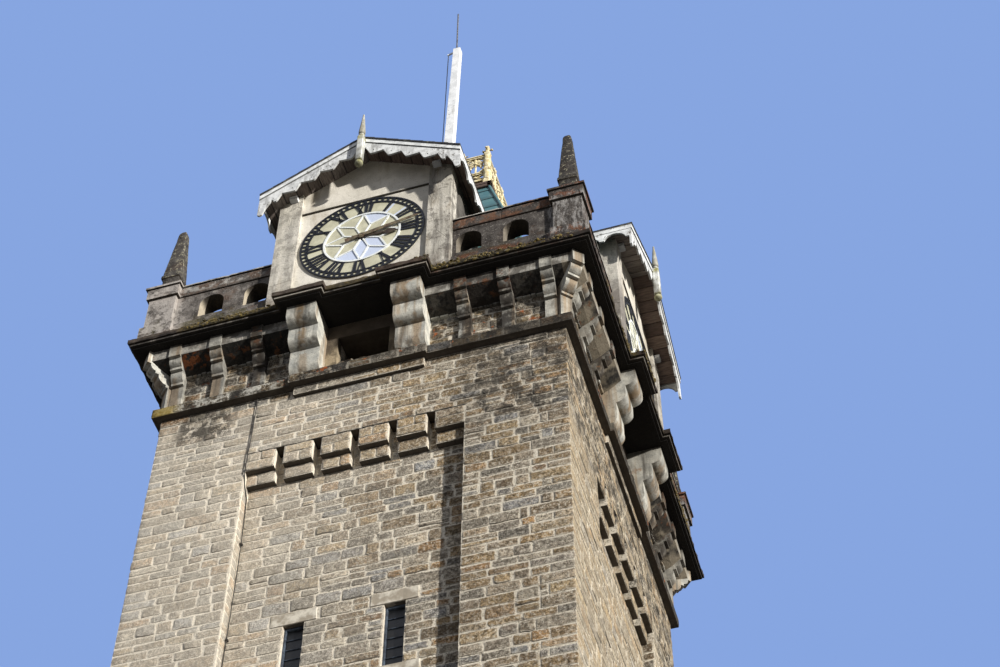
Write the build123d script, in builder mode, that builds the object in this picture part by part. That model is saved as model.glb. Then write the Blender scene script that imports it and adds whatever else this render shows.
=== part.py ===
"""Clock tower: square rubble-stone shaft with recessed panels and slit windows,
corbelled gallery with arched parapet, four gabled clock faces, steep metal roof
with cast cresting, and a flagpole.  Millimetres, +Z up, front face towards -Y,
origin on the ground at the middle of the tower."""
from build123d import *
import os
from math import sin, cos, radians

os.makedirs("parts", exist_ok=True)

# ---- driving dimensions -------------------------------------------------
ZS = 22330            # underside of the string course above ground
W2 = 2750             # half width of the shaft
WI = 2050             # half width of the hollow inside
RC = 1430             # half width of the recessed panel
RD = 170              # depth of the recess
Z_PLINTH = 600        # top of the base course
PLINTH_OUT = 80
FLOOR_T = 150
Z_HEAD = ZS - 1080    # head of the recess

STR_H, STR_OUT = 160, 106             # string course
BAY_STR_HALF, BAY_STR_OUT = 935, 155  # its step forward in the middle
LEDGE_HALF, LEDGE_OUT = 885, 55       # lower ledge under the middle

OPEN_HALF = 360                       # opening between the big corbels
OPEN_Z0, OPEN_Z1 = ZS + 160, ZS + 930

Z_C0, Z_C1 = ZS + 1200, ZS + 1365     # main cornice
C_MAIN, C_BAY, C_MID = 3236, 3428, 3333
C_BAY_X0, C_BAY_X1 = 362, 1090

DOOR_HALF, DOOR_Z1 = 500, 2350

WIN_X, WIN_W, WIN_H = 608, 258, 960   # slit windows
WIN_HEADS = [ZS - 4130, ZS - 8430, ZS - 12730, ZS - 17030]

BIG_X0, BIG_X1 = 520, 930             # three-roll corbels
SM_X, SM_W = [1420, 2005, 2582], 165  # stepped corbels

PAR_OUT, PAR_IN = 3045, 2775          # parapet wall
PAR_END = 2720
PAR_TOP = ZS + 2340
PAR_FOOT = ZS + 1680
ARCH_X = [1525, 2185]
ARCH_R, ARCH_SILL, ARCH_CROWN = 178, ZS + 1800, ZS + 2240
COP_OUT, COP_IN = 3070, 2750          # coping, with a thin slab bedded on top
SLAB_OUT, SLAB_IN, SLAB_Z, COP_TOP = 3085, 2735, ZS + 2550, ZS + 2590
PIER_C, PIER_R, PIER_FOOT, PIER_CAP, PIER_SLAB = 2920, 200, 238, 236, 262

G_FRONT, G_PIL, G_T = 3122, 3175, 200 # gable wall face, pilaster face, thickness
G_HALF, G_PIL_IN = 1290, 955
G_RIDGE, G_SLOPE = ZS + 4700, 0.586   # top of the gable roof, fall per mm
G_ROOF_T = 100
G_EAVE = 1498
BARGE_Y, BARGE_T = 3453, 28
SLATE_T, VERGE_H = 22, 112            # slate edge, top moulding of the verge

DIAL_Z, DIAL_R, DIAL_HOLE = ZS + 2617, 912, 850

ROOF_Z0, ROOF_Z1 = ZS + 1365, ZS + 6146
ROOF_A1, ROOF_SLOPE, ROOF_T = 1223, 0.262, 90
ROOF_A0 = ROOF_A1 + ROOF_SLOPE * (ROOF_Z1 - ROOF_Z0)
DECK_HALF, DECK_T = 1262, 124
Z_DECK = ROOF_Z1 + DECK_T

CREST_HALF = 1178
POLE_X0, POLE_X1 = 20, 188            # the pole leans a little to the right
POLE_TOP = ZS + 13050
ROD_X, ROD_TOP = 168, ZS + 14480
CLEAT_Z = ZS + 7720                   # cleat of the halyard on the pole's left face
CLEAT_T = (CLEAT_Z - Z_DECK) / (POLE_TOP - Z_DECK)
CLEAT_X = POLE_X0 + (POLE_X1 - POLE_X0) * CLEAT_T - 90 + 24 * CLEAT_T

MIN_DEG, HOUR_DEG = 78.0, 96.5        # hands as seen, clockwise from twelve


def zu(x):
    """Underside of the gable roof at distance x from its ridge line."""
    return G_RIDGE - G_ROOF_T - G_SLOPE * abs(x)


def zt(x):
    """Top of the gable roof at distance x from its ridge line."""
    return G_RIDGE - G_SLOPE * abs(x)


# ---- shaft --------------------------------------------------------------
with BuildPart() as plinth:
    with BuildSketch(Plane.XY):
        Rectangle(2 * (W2 + PLINTH_OUT), 2 * (W2 + PLINTH_OUT))
        Rectangle(2 * WI, 2 * WI, mode=Mode.SUBTRACT)
    extrude(amount=Z_PLINTH)
    with Locations((0, -(W2 + PLINTH_OUT + WI) / 2, FLOOR_T + Z_PLINTH / 2)):
        Box(2 * DOOR_HALF, W2 + PLINTH_OUT - WI + 4, Z_PLINTH, mode=Mode.SUBTRACT)
plinth.part.label = "plinth"

with BuildPart() as ground_floor:
    with Locations((0, 0, FLOOR_T / 2)):
        Box(2 * WI, 2 * WI, FLOOR_T)
ground_floor.part.label = "ground_floor"

PC = (W2 + RC) / 2
with BuildPart() as corner_pilasters:
    with BuildSketch(Plane.XY.offset(Z_PLINTH)):
        with Locations((PC, PC), (-PC, PC), (-PC, -PC), (PC, -PC)):
            Rectangle(W2 - RC, W2 - RC)
        Rectangle(2 * WI, 2 * WI, mode=Mode.SUBTRACT)
    extrude(amount=Z_HEAD - Z_PLINTH)
corner_pilasters.part.label = "corner_pilasters"

PAN_T = W2 - RD - WI
PAN_Y = -(W2 - RD + WI) / 2
with BuildPart() as plain_panel:
    with Locations((0, PAN_Y, (Z_HEAD + Z_PLINTH) / 2)):
        Box(2 * RC, PAN_T, Z_HEAD - Z_PLINTH)
    for zh in WIN_HEADS:
        with Locations((-WIN_X, PAN_Y, zh - WIN_H / 2), (WIN_X, PAN_Y, zh - WIN_H / 2)):
            Box(WIN_W, PAN_T + 4, WIN_H, mode=Mode.SUBTRACT)

with BuildPart() as front_panel:
    add(plain_panel.part)
    with Locations((0, PAN_Y, (Z_PLINTH + DOOR_Z1) / 2)):
        Box(2 * DOOR_HALF, PAN_T + 4, DOOR_Z1 - Z_PLINTH, mode=Mode.SUBTRACT)
front_panel.part.label = "front_panel"

with BuildPart() as right_panel:
    add(plain_panel.part.rotate(Axis.Z, 90))
right_panel.part.label = "right_panel"

with BuildPart() as back_panel:
    add(plain_panel.part.rotate(Axis.Z, 180))
back_panel.part.label = "back_panel"

with BuildPart() as left_panel:
    add(plain_panel.part.rotate(Axis.Z, 270))
left_panel.part.label = "left_panel"

# glazed sheets set back in the slits
GLASS_Y, GLASS_T = -2490, 20
with BuildPart() as glass_side:
    for zh in WIN_HEADS:
        with Locations((-WIN_X, GLASS_Y, zh - WIN_H / 2), (WIN_X, GLASS_Y, zh - WIN_H / 2)):
            Box(WIN_W, GLASS_T, WIN_H)

with BuildPart() as slit_windows:
    for k in range(4):
        add(glass_side.part.rotate(Axis.Z, 90 * k))
slit_windows.part.label = "slit_windows"

# two-step blocks across the head of each recess
BLK_W = 380
with BuildPart() as blocks_side:
    for i in range(6):
        x0 = -RC + i * (2 * RC - BLK_W) / 5
        with BuildSketch(Plane.YZ.offset(x0)):
            with BuildLine():
                Polyline((-(W2 - RD), Z_HEAD), (-W2, Z_HEAD), (-W2, Z_HEAD - 335),
                         (-(W2 - RD / 2), Z_HEAD - 335), (-(W2 - RD / 2), Z_HEAD - 535),
                         (-(W2 - RD), Z_HEAD - 535), close=True)
            make_face()
        extrude(amount=BLK_W)

with BuildPart() as panel_corbels:
    for k in range(4):
        add(blocks_side.part.rotate(Axis.Z, 90 * k))
panel_corbels.part.label = "panel_corbels"

# ---- corbelled stage ----------------------------------------------------
UP_C, UP_H, UP_Y = (Z_HEAD + Z_C0) / 2, Z_C0 - Z_HEAD, (W2 + WI) / 2
with BuildPart() as upper_walls_front_back:
    with Locations((0, -UP_Y, UP_C), (0, UP_Y, UP_C)):
        Box(2 * W2, W2 - WI, UP_H)
    with Locations((0, 0, (OPEN_Z0 + OPEN_Z1) / 2)):
        Box(2 * OPEN_HALF, 2 * W2 + 10, OPEN_Z1 - OPEN_Z0, mode=Mode.SUBTRACT)
upper_walls_front_back.part.label = "upper_walls_front_back"

with BuildPart() as upper_walls_sides:
    with Locations((-UP_Y, 0, UP_C), (UP_Y, 0, UP_C)):
        Box(W2 - WI, 2 * WI, UP_H)
    with Locations((0, 0, (OPEN_Z0 + OPEN_Z1) / 2)):
        Box(2 * W2 + 10, 2 * OPEN_HALF, OPEN_Z1 - OPEN_Z0, mode=Mode.SUBTRACT)
upper_walls_sides.part.label = "upper_walls_sides"

with BuildPart() as string_course:
    with BuildSketch(Plane.XY.offset(ZS)):
        Rectangle(2 * (W2 + STR_OUT), 2 * (W2 + STR_OUT))
        Rectangle(2 * BAY_STR_HALF, 2 * (W2 + BAY_STR_OUT))
        Rectangle(2 * (W2 + BAY_STR_OUT), 2 * BAY_STR_HALF)
        Rectangle(2 * W2, 2 * W2, mode=Mode.SUBTRACT)
    extrude(amount=STR_H)
string_course.part.label = "string_course"

LED_Y = W2 + LEDGE_OUT / 2
with BuildPart() as bay_ledges:
    with Locations((0, -LED_Y, ZS - 75), (0, LED_Y, ZS - 75)):
        Box(2 * LEDGE_HALF, LEDGE_OUT, 150)
    with Locations((-LED_Y, 0, ZS - 75), (LED_Y, 0, ZS - 75)):
        Box(LEDGE_OUT, 2 * LEDGE_HALF, 150)
bay_ledges.part.label = "bay_ledges"

# three rolls, each carried out over the one below
ROLLS = [(3240, ZS + 1200, ZS + 886, 148, 145), (3092, ZS + 886, ZS + 571, 140, 145),
         (2952, ZS + 571, ZS + 160, 52, 200)]
with BuildPart() as big_corbels_side:
    for x0 in (-BIG_X1, BIG_X0):
        with BuildSketch(Plane.YZ.offset(x0)):
            with BuildLine():
                Line((-W2, Z_C0), (-ROLLS[0][0], Z_C0))
                for y, z1, z0, d, h in ROLLS:
                    Line((-y, z1), (-y, z0 + h))
                    ThreePointArc((-y, z0 + h), (-(y - 0.293 * d), z0 + 0.293 * h), (-(y - d), z0))
                    last = (-(y - d), z0)
                Line(last, (-W2, ZS + STR_H))
                Line((-W2, ZS + STR_H), (-W2, Z_C0))
            make_face()
        extrude(amount=BIG_X1 - BIG_X0)

with BuildPart() as big_corbels:
    for k in range(4):
        add(big_corbels_side.part.rotate(Axis.Z, 90 * k))
big_corbels.part.label = "big_corbels"

# narrow corbels: a square block, two rounded ones with a fillet each, a plain foot
with BuildPart() as small_corbels_side:
    for xc in SM_X + [-x for x in SM_X]:
        with BuildSketch(Plane.YZ.offset(xc - SM_W / 2)):
            with BuildLine():
                Polyline((-W2, Z_C0), (-3070, Z_C0), (-3070, ZS + 971), (-3022, ZS + 971))
                ThreePointArc((-3022, ZS + 971), (-3003, ZS + 888), (-2956, ZS + 853))
                Polyline((-2956, ZS + 853), (-2956, ZS + 810), (-2908, ZS + 810))
                ThreePointArc((-2908, ZS + 810), (-2891, ZS + 697), (-2849, ZS + 650))
                Polyline((-2849, ZS + 650), (-2849, ZS + 607), (-2805, ZS + 607), (-2805, ZS + STR_H),
                         (-W2, ZS + STR_H), (-W2, Z_C0))
            make_face()
        extrude(amount=SM_W)

with BuildPart() as small_corbels:
    for k in range(4):
        add(small_corbels_side.part.rotate(Axis.Z, 90 * k))
small_corbels.part.label = "small_corbels"

# the same stack set diagonally on each corner
with BuildPart() as corner_one:
    with BuildSketch(Plane.XZ.offset(-85)):
        with BuildLine():
            Polyline((3700, Z_C0), (4272, Z_C0), (4272, ZS + 971), (4215, ZS + 971))
            ThreePointArc((4215, ZS + 971), (4191, ZS + 888), (4134, ZS + 853))
            Polyline((4134, ZS + 853), (4134, ZS + 810), (4080, ZS + 810))
            ThreePointArc((4080, ZS + 810), (4044, ZS + 697), (3958, ZS + 650))
            Polyline((3958, ZS + 650), (3958, ZS + 607), (3925, ZS + 607), (3925, ZS + STR_H),
                     (3700, ZS + STR_H), (3700, Z_C0))
        make_face()
    extrude(amount=170)

with BuildPart() as corner_corbels:
    for k in range(4):
        add(corner_one.part.rotate(Axis.Z, 45 + 90 * k))
    with Locations((0, 0, ZS + 680)):
        Box(2 * W2, 2 * W2, 2000, mode=Mode.SUBTRACT)
    add(small_corbels.part, mode=Mode.SUBTRACT)
corner_corbels.part.label = "corner_corbels"

# lintel stones between neighbouring corbels, under the cornice, each with a
# sloping panel below it that leans back to the wall
LIN = [(BIG_X1, SM_X[0] - SM_W / 2), (SM_X[0] + SM_W / 2, SM_X[1] - SM_W / 2),
       (SM_X[1] + SM_W / 2, SM_X[2] - SM_W / 2), (SM_X[2] + SM_W / 2, 3000)]
CORNER_CUT = 120.4                    # clear of the diagonal corbel
with BuildPart() as lintels_side:
    for a, b in LIN + [(-q, -p) for p, q in LIN]:
        with BuildSketch(Plane.YZ.offset(a)):
            with BuildLine():
                Polyline((-W2, Z_C0), (-3040, Z_C0), (-3040, ZS + 1002), (-2899, ZS + 882),
                         (-2786, ZS + 818), (-2786, ZS + 800), (-W2, ZS + 800), close=True)
            make_face()
        extrude(amount=b - a)
    with BuildSketch(Plane.XY.offset(ZS + 700)):
        for s in (-1, 1):
            with BuildLine():
                Polyline((s * (2400 - CORNER_CUT), -2400), (s * (4000 - CORNER_CUT), -4000),
                         (s * 5000, -4000), (s * 5000, -2400), close=True)
            make_face()
    extrude(amount=600, mode=Mode.SUBTRACT)

with BuildPart() as corbel_lintels:
    for k in range(4):
        add(lintels_side.part.rotate(Axis.Z, 90 * k))
corbel_lintels.part.label = "corbel_lintels"

# ---- cornice and gallery -------------------------------------------------
BXC, BXW = (C_BAY_X0 + C_BAY_X1) / 2, C_BAY_X1 - C_BAY_X0
with BuildPart() as cornice:
    with BuildSketch(Plane.XY.offset(Z_C0)):
        Rectangle(2 * C_MAIN, 2 * C_MAIN)
        Rectangle(2 * C_BAY_X1, 2 * C_MID)
        Rectangle(2 * C_MID, 2 * C_BAY_X1)
        with Locations((-BXC, 0), (BXC, 0)):
            Rectangle(BXW, 2 * C_BAY)
        with Locations((0, -BXC), (0, BXC)):
            Rectangle(2 * C_BAY, BXW)
        Rectangle(2 * WI, 2 * WI, mode=Mode.SUBTRACT)
    extrude(amount=Z_C1 - Z_C0)
cornice.part.label = "cornice"

PAR_Y = -(PAR_OUT + PAR_IN) / 2
with BuildPart() as parapet_side:
    for sx in (-1, 1):
        with Locations((sx * (G_HALF + PAR_END) / 2, PAR_Y, (Z_C1 + PAR_TOP) / 2)):
            Box(PAR_END - G_HALF, PAR_OUT - PAR_IN, PAR_TOP - Z_C1)
        with Locations((sx * (G_HALF + PAR_END) / 2, -(PAR_OUT + 20), (Z_C1 + PAR_FOOT) / 2)):
            Box(PAR_END - G_HALF, 40, PAR_FOOT - Z_C1)
    with BuildSketch(Plane.XZ.offset(PAR_IN - 5)):
        for ax in ARCH_X + [-a for a in ARCH_X]:
            with Locations((ax, (ARCH_SILL + ARCH_CROWN - ARCH_R) / 2)):
                Rectangle(2 * ARCH_R, ARCH_CROWN - ARCH_R - ARCH_SILL)
            with Locations((ax, ARCH_CROWN - ARCH_R)):
                Circle(ARCH_R)
    extrude(amount=320, mode=Mode.SUBTRACT)

with BuildPart() as parapets:
    for k in range(4):
        add(parapet_side.part.rotate(Axis.Z, 90 * k))
parapets.part.label = "parapets"

COP_X1, SLAB_X1 = PIER_C - PIER_CAP, PIER_C - PIER_SLAB
with BuildPart() as coping_side:
    for sx in (-1, 1):
        with Locations((sx * (G_HALF + COP_X1) / 2, -(COP_OUT + COP_IN) / 2, (PAR_TOP + SLAB_Z) / 2)):
            Box(COP_X1 - G_HALF, COP_OUT - COP_IN, SLAB_Z - PAR_TOP)
        with Locations((sx * (G_HALF + SLAB_X1) / 2, -(SLAB_OUT + SLAB_IN) / 2, (SLAB_Z + COP_TOP) / 2)):
            Box(SLAB_X1 - G_HALF, SLAB_OUT - SLAB_IN, COP_TOP - SLAB_Z)

with BuildPart() as parapet_copings:
    for k in range(4):
        add(coping_side.part.rotate(Axis.Z, 90 * k))
parapet_copings.part.label = "parapet_copings"

with BuildPart() as corner_piers:
    for sx in (-1, 1):
        for sy in (-1, 1):
            with Locations((sx * PIER_C, sy * PIER_C, (Z_C1 + PAR_FOOT) / 2)):
                Box(2 * PIER_FOOT, 2 * PIER_FOOT, PAR_FOOT - Z_C1)
            with Locations((sx * PIER_C, sy * PIER_C, (Z_C1 + PAR_TOP) / 2)):
                Box(2 * PIER_R, 2 * PIER_R, PAR_TOP - Z_C1)
            with Locations((sx * PIER_C, sy * PIER_C, (PAR_TOP + SLAB_Z) / 2)):
                Box(2 * PIER_CAP, 2 * PIER_CAP, SLAB_Z - PAR_TOP)
            with Locations((sx * PIER_C, sy * PIER_C, (SLAB_Z + COP_TOP) / 2)):
                Box(2 * PIER_SLAB, 2 * PIER_SLAB, COP_TOP - SLAB_Z)
    # rebates where the parapet walls run into the piers
    for s in (-1, 1):
        with Locations((0, s * (PAR_IN + PAR_OUT + 40) / 2, (Z_C1 + PAR_FOOT) / 2)):
            Box(2 * PAR_END, PAR_OUT + 40 - PAR_IN, PAR_FOOT - Z_C1, mode=Mode.SUBTRACT)
        with Locations((s * (PAR_IN + PAR_OUT + 40) / 2, 0, (Z_C1 + PAR_FOOT) / 2)):
            Box(PAR_OUT + 40 - PAR_IN, 2 * PAR_END, PAR_FOOT - Z_C1, mode=Mode.SUBTRACT)
corner_piers.part.label = "corner_piers"

with BuildPart() as pinnacle_one:
    for half, z0, z1 in ((165, 2590, 2710), (125, 2710, 2930), (145, 2930, 3010)):
        with Locations((PIER_C, PIER_C, ZS + (z0 + z1) / 2)):
            Box(2 * half, 2 * half, z1 - z0)
    for half0, z0, half1, z1 in ((132, 3010, 62, 4120), (62, 4120, 26, 4221)):
        with BuildSketch(Plane.XY.offset(ZS + z0)):
            with Locations((PIER_C, PIER_C)):
                Rectangle(2 * half0, 2 * half0)
        with BuildSketch(Plane.XY.offset(ZS + z1)):
            with Locations((PIER_C, PIER_C)):
                Rectangle(2 * half1, 2 * half1)
        loft()

with BuildPart() as pinnacles:
    for k in range(4):
        add(pinnacle_one.part.rotate(Axis.Z, 90 * k))
pinnacles.part.label = "pinnacles"

# ---- main roof ------------------------------------------------------------
with BuildPart() as roof_block:
    with BuildSketch(Plane.XY.offset(ROOF_Z0)):
        Rectangle(2 * ROOF_A0, 2 * ROOF_A0)
    with BuildSketch(Plane.XY.offset(ROOF_Z1)):
        Rectangle(2 * ROOF_A1, 2 * ROOF_A1)
    loft()

with BuildPart() as roof_void:
    with BuildSketch(Plane.XY.offset(ROOF_Z0)):
        Rectangle(2 * (ROOF_A0 - ROOF_T), 2 * (ROOF_A0 - ROOF_T))
    with BuildSketch(Plane.XY.offset(ROOF_Z1)):
        Rectangle(2 * (ROOF_A1 - ROOF_T), 2 * (ROOF_A1 - ROOF_T))
    loft()

with BuildPart() as roof_front_back:
    add(roof_block.part)
    add(roof_void.part, mode=Mode.SUBTRACT)
    with BuildSketch(Plane.XY.offset(ROOF_Z0)):
        with BuildLine():
            Polyline((0, 0), (4000, -4000), (-4000, -4000), close=True)
        make_face()
        with BuildLine():
            Polyline((0, 0), (4000, 4000), (-4000, 4000), close=True)
        make_face()
    extrude(amount=ROOF_Z1 - ROOF_Z0, mode=Mode.INTERSECT)
roof_front_back.part.label = "roof_front_back"

with BuildPart() as roof_sides:
    add(roof_front_back.part.rotate(Axis.Z, 90))
roof_sides.part.label = "roof_sides"

with BuildPart() as roof_deck:
    with Locations((0, 0, (ROOF_Z1 + Z_DECK) / 2)):
        Box(2 * DECK_HALF, 2 * DECK_HALF, DECK_T)
roof_deck.part.label = "roof_deck"

# ---- gabled clock faces ----------------------------------------------------
with BuildPart() as gable_side:
    with BuildSketch(Plane.XZ.offset(G_FRONT)):
        with BuildLine():
            Polyline((-G_HALF, Z_C1), (G_HALF, Z_C1), (G_HALF, zu(G_HALF)), (0, zu(0)),
                     (-G_HALF, zu(G_HALF)), close=True)
        make_face()
        with Locations((0, DIAL_Z)):
            Circle(DIAL_HOLE, mode=Mode.SUBTRACT)
    extrude(amount=-G_T)
    with BuildSketch(Plane.XZ.offset(G_FRONT)):
        for s in (-1, 1):
            with BuildLine():
                Polyline((s * G_PIL_IN, Z_C1), (s * G_HALF, Z_C1), (s * G_HALF, zu(G_HALF)),
                         (s * G_PIL_IN, zu(G_PIL_IN)), close=True)
            make_face()
    extrude(amount=G_PIL - G_FRONT)
    with Locations((0, -(G_FRONT + 10), ZS + 3548)):
        Box(2 * G_PIL_IN, 20, 26)

with BuildPart() as gable_walls:
    for k in range(4):
        add(gable_side.part.rotate(Axis.Z, 90 * k))
gable_walls.part.label = "gable_walls"

with BuildPart() as above_gable_roof:
    with BuildSketch(Plane.XZ.offset(1000)):
        with BuildLine():
            Polyline((-3000, zu(3000)), (0, zu(0)), (3000, zu(3000)), (3000, ZS + 8000),
                     (-3000, ZS + 8000), close=True)
        make_face()
    extrude(amount=2600)

with BuildPart() as cheek_side:
    for s in (-1, 1):
        with Locations((s * (G_HALF - G_T / 2), -(G_FRONT - G_T + 1500) / 2, (Z_C1 + ZS + 4600) / 2)):
            Box(G_T, G_FRONT - G_T - 1500, ZS + 4600 - Z_C1)
    add(roof_block.part, mode=Mode.SUBTRACT)
    add(above_gable_roof.part, mode=Mode.SUBTRACT)

with BuildPart() as gable_cheeks:
    for k in range(4):
        add(cheek_side.part.rotate(Axis.Z, 90 * k))
gable_cheeks.part.label = "gable_cheeks"

EB = G_EAVE - 26          # eave of the boarded part, behind the eave board
with BuildPart() as gable_roof_side:
    with BuildSketch(Plane.XZ.offset(1400)):
        with BuildLine():
            Polyline((-EB, zu(EB)), (0, zu(0)), (EB, zu(EB)), (EB, zt(EB)), (0, zt(0)), (-EB, zt(EB)),
                     close=True)
        make_face()
    extrude(amount=BARGE_Y - BARGE_T - 1400)
    # slate edge carried out over the verge board and the eave boards
    with BuildSketch(Plane.XZ.offset(1400)):
        with BuildLine():
            Polyline((-G_EAVE, zt(G_EAVE) - SLATE_T), (0, zt(0) - SLATE_T), (G_EAVE, zt(G_EAVE) - SLATE_T),
                     (G_EAVE, zt(G_EAVE)), (0, zt(0)), (-G_EAVE, zt(G_EAVE)), close=True)
        make_face()
    extrude(amount=BARGE_Y + 26 - 1400)
    add(roof_block.part, mode=Mode.SUBTRACT)
    with Locations((0, -(BARGE_Y + 40), G_RIDGE)):
        Box(108, 80, 400, mode=Mode.SUBTRACT)

with BuildPart() as gable_roofs:
    for k in range(4):
        add(gable_roof_side.part.rotate(Axis.Z, 90 * k))
gable_roofs.part.label = "gable_roofs"

# verge boards: five hanging teeth a side, a hole above each, a drop at the eave
TEETH = 5
EDGE = [(0, zt(0) - 270), (56, zt(56) - 252)]
for i in range(TEETH):
    xt, xh = 140 + 274 * i, 56 + 277.5 * (i + 1)
    if i == TEETH - 1:
        xh = 1310
    tip, high = zt(xt) - 392, zt(xh) - (252 if i < TEETH - 1 else 290)
    EDGE += [(xt - 16, tip + 36), (xt + 2, tip + 5), (xt + 38, tip), (xh - 34, high - 12), (xh, high)]
EDGE += [(1352, ZS + 3548), (1390, ZS + 3465), (1412, ZS + 3372), (1430, ZS + 3322), (1464, ZS + 3306),
         (G_EAVE, ZS + 3330)]
with BuildPart() as barge_side:
    with BuildSketch(Plane.XZ.offset(BARGE_Y - BARGE_T)):
        with BuildLine():
            Polyline(*([(x, z) for x, z in EDGE] + [(G_EAVE, zt(G_EAVE) - SLATE_T), (0, zt(0) - SLATE_T),
                                                   (-G_EAVE, zt(G_EAVE) - SLATE_T)]
                       + [(-x, z) for x, z in reversed(EDGE[1:])]), close=True)
        make_face()
        for s in (-1, 1):
            for i in range(TEETH):
                xc = 183 + i * 276
                with Locations((s * xc, zt(xc) - 286)):
                    Circle(12, mode=Mode.SUBTRACT)
    extrude(amount=BARGE_T)
    # flat moulding along the top edge
    with BuildSketch(Plane.XZ.offset(BARGE_Y)):
        for s in (-1, 1):
            with BuildLine():
                Polyline((s * 54, zt(54) - VERGE_H), (s * G_EAVE, zt(G_EAVE) - VERGE_H),
                         (s * G_EAVE, zt(G_EAVE) - SLATE_T), (s * 54, zt(54) - SLATE_T), close=True)
            make_face()
    extrude(amount=14)

with BuildPart() as bargeboards:
    for k in range(4):
        add(barge_side.part.rotate(Axis.Z, 90 * k))
bargeboards.part.label = "bargeboards"

# scalloped boards along the side eaves
with BuildPart() as eave_side:
    for s in (-1, 1):
        with BuildSketch(Plane.YZ.offset(s * (G_EAVE - 13) - 13)):
            with BuildLine():
                Polyline((-(BARGE_Y - BARGE_T), zt(G_EAVE) - 24), (-1500, zt(G_EAVE) - 24),
                         (-1500, zt(G_EAVE) - 290), (-(BARGE_Y - BARGE_T), zt(G_EAVE) - 290), close=True)
            make_face()
            for i in range(4):
                with Locations((-(BARGE_Y - BARGE_T - 215 - i * 390), zt(G_EAVE) - 330)):
                    Circle(165, mode=Mode.SUBTRACT)
        extrude(amount=26)
    add(roof_block.part, mode=Mode.SUBTRACT)

with BuildPart() as eave_boards:
    for k in range(4):
        add(eave_side.part.rotate(Axis.Z, 90 * k))
eave_boards.part.label = "eave_boards"

FIN_Y = -(BARGE_Y + 50)
with BuildPart() as finial_one:
    with Locations((0, FIN_Y, ZS + 4325)):
        Box(98, 98, 670)
    with Locations((0, FIN_Y, ZS + 3944)):
        Sphere(60)
    with Locations((0, FIN_Y, ZS + 4675)):
        Cylinder(49, 30)
    with Locations((0, FIN_Y, ZS + 4715)):
        Cylinder(40, 50)
    with Locations((0, FIN_Y, ZS + 5005)):
        Cone(52, 10, 530)

with BuildPart() as gable_finials:
    for k in range(4):
        add(finial_one.part.rotate(Axis.Z, 90 * k))
gable_finials.part.label = "gable_finials"

# ---- dials ------------------------------------------------------------------
GLASS_F = G_FRONT + 8          # front of the dial glass
FRAME_F = G_FRONT + 20         # front of the cast frame
HUB_R, PIPE_R, ARBOR_R, FIT = 60, 24, 14, 0.06
with BuildPart() as dial_glass_one:
    with BuildSketch(Plane.XZ.offset(G_FRONT)):
        with Locations((0, DIAL_Z)):
            Circle(DIAL_R - 6)
            Circle(HUB_R, mode=Mode.SUBTRACT)
    extrude(amount=GLASS_F - G_FRONT)

with BuildPart() as dial_glasses:
    for k in range(4):
        add(dial_glass_one.part.rotate(Axis.Z, 90 * k))
dial_glasses.part.label = "dial_glasses"

with BuildPart() as dial_frame_one:
    with BuildSketch(Plane.XZ.offset(GLASS_F)):
        with Locations((0, DIAL_Z)):
            Circle(DIAL_R)
            Circle(815, mode=Mode.SUBTRACT)
            with PolarLocations(690, 12):
                Rectangle(270, 44)
            Circle(566)
            Circle(536, mode=Mode.SUBTRACT)
            with PolarLocations(300, 8):
                Rectangle(490, 22)
            Circle(HUB_R)
            Circle(PIPE_R + FIT, mode=Mode.SUBTRACT)
    extrude(amount=FRAME_F - GLASS_F)
    with BuildSketch(Plane.XZ.offset(GLASS_F)):
        with Locations((0, DIAL_Z)):
            Circle(HUB_R)
            Circle(PIPE_R + FIT, mode=Mode.SUBTRACT)
    extrude(amount=-(GLASS_F - G_FRONT + 24))

with BuildPart() as dial_frames:
    for k in range(4):
        add(dial_frame_one.part.rotate(Axis.Z, 90 * k))
dial_frames.part.label = "dial_frames"

# hands, drawn pointing to twelve and turned to the time
with BuildPart() as hour_hand_up:
    with BuildSketch(Plane.XZ.offset(FRAME_F + 8)):
        Circle(58)
        with BuildLine():
            Polyline((-30, 0), (-20, 330), (-62, 400), (0, 545), (62, 400), (20, 330), (30, 0), close=True)
        make_face()
        with BuildLine():
            Polyline((-24, 0), (-34, -150), (34, -150), (24, 0), close=True)
        make_face()
        Circle(ARBOR_R + FIT, mode=Mode.SUBTRACT)
    extrude(amount=8)
    with BuildSketch(Plane.XZ.offset(FRAME_F + 8)):
        Circle(PIPE_R)
        Circle(ARBOR_R + FIT, mode=Mode.SUBTRACT)
    extrude(amount=-38)

with BuildPart() as minute_hand_up:
    with BuildSketch(Plane.XZ.offset(FRAME_F + 24)):
        Circle(52)
        with BuildLine():
            Polyline((-30, -60), (-40, -240), (40, -240), (30, -60), (38, 60), (24, 790), (0, 860), (-24, 790),
                     (-38, 60), close=True)
        make_face()
    extrude(amount=8)
    with BuildSketch(Plane.XZ.offset(FRAME_F + 24)):
        Circle(ARBOR_R)
    extrude(amount=-54)
    with BuildSketch(Plane.XZ.offset(FRAME_F + 32)):
        Circle(34)
    extrude(amount=10)

hour_set = hour_hand_up.part.rotate(Axis.Y, HOUR_DEG).translate((0, 0, DIAL_Z))
minute_set = minute_hand_up.part.rotate(Axis.Y, MIN_DEG).translate((0, 0, DIAL_Z))

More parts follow.
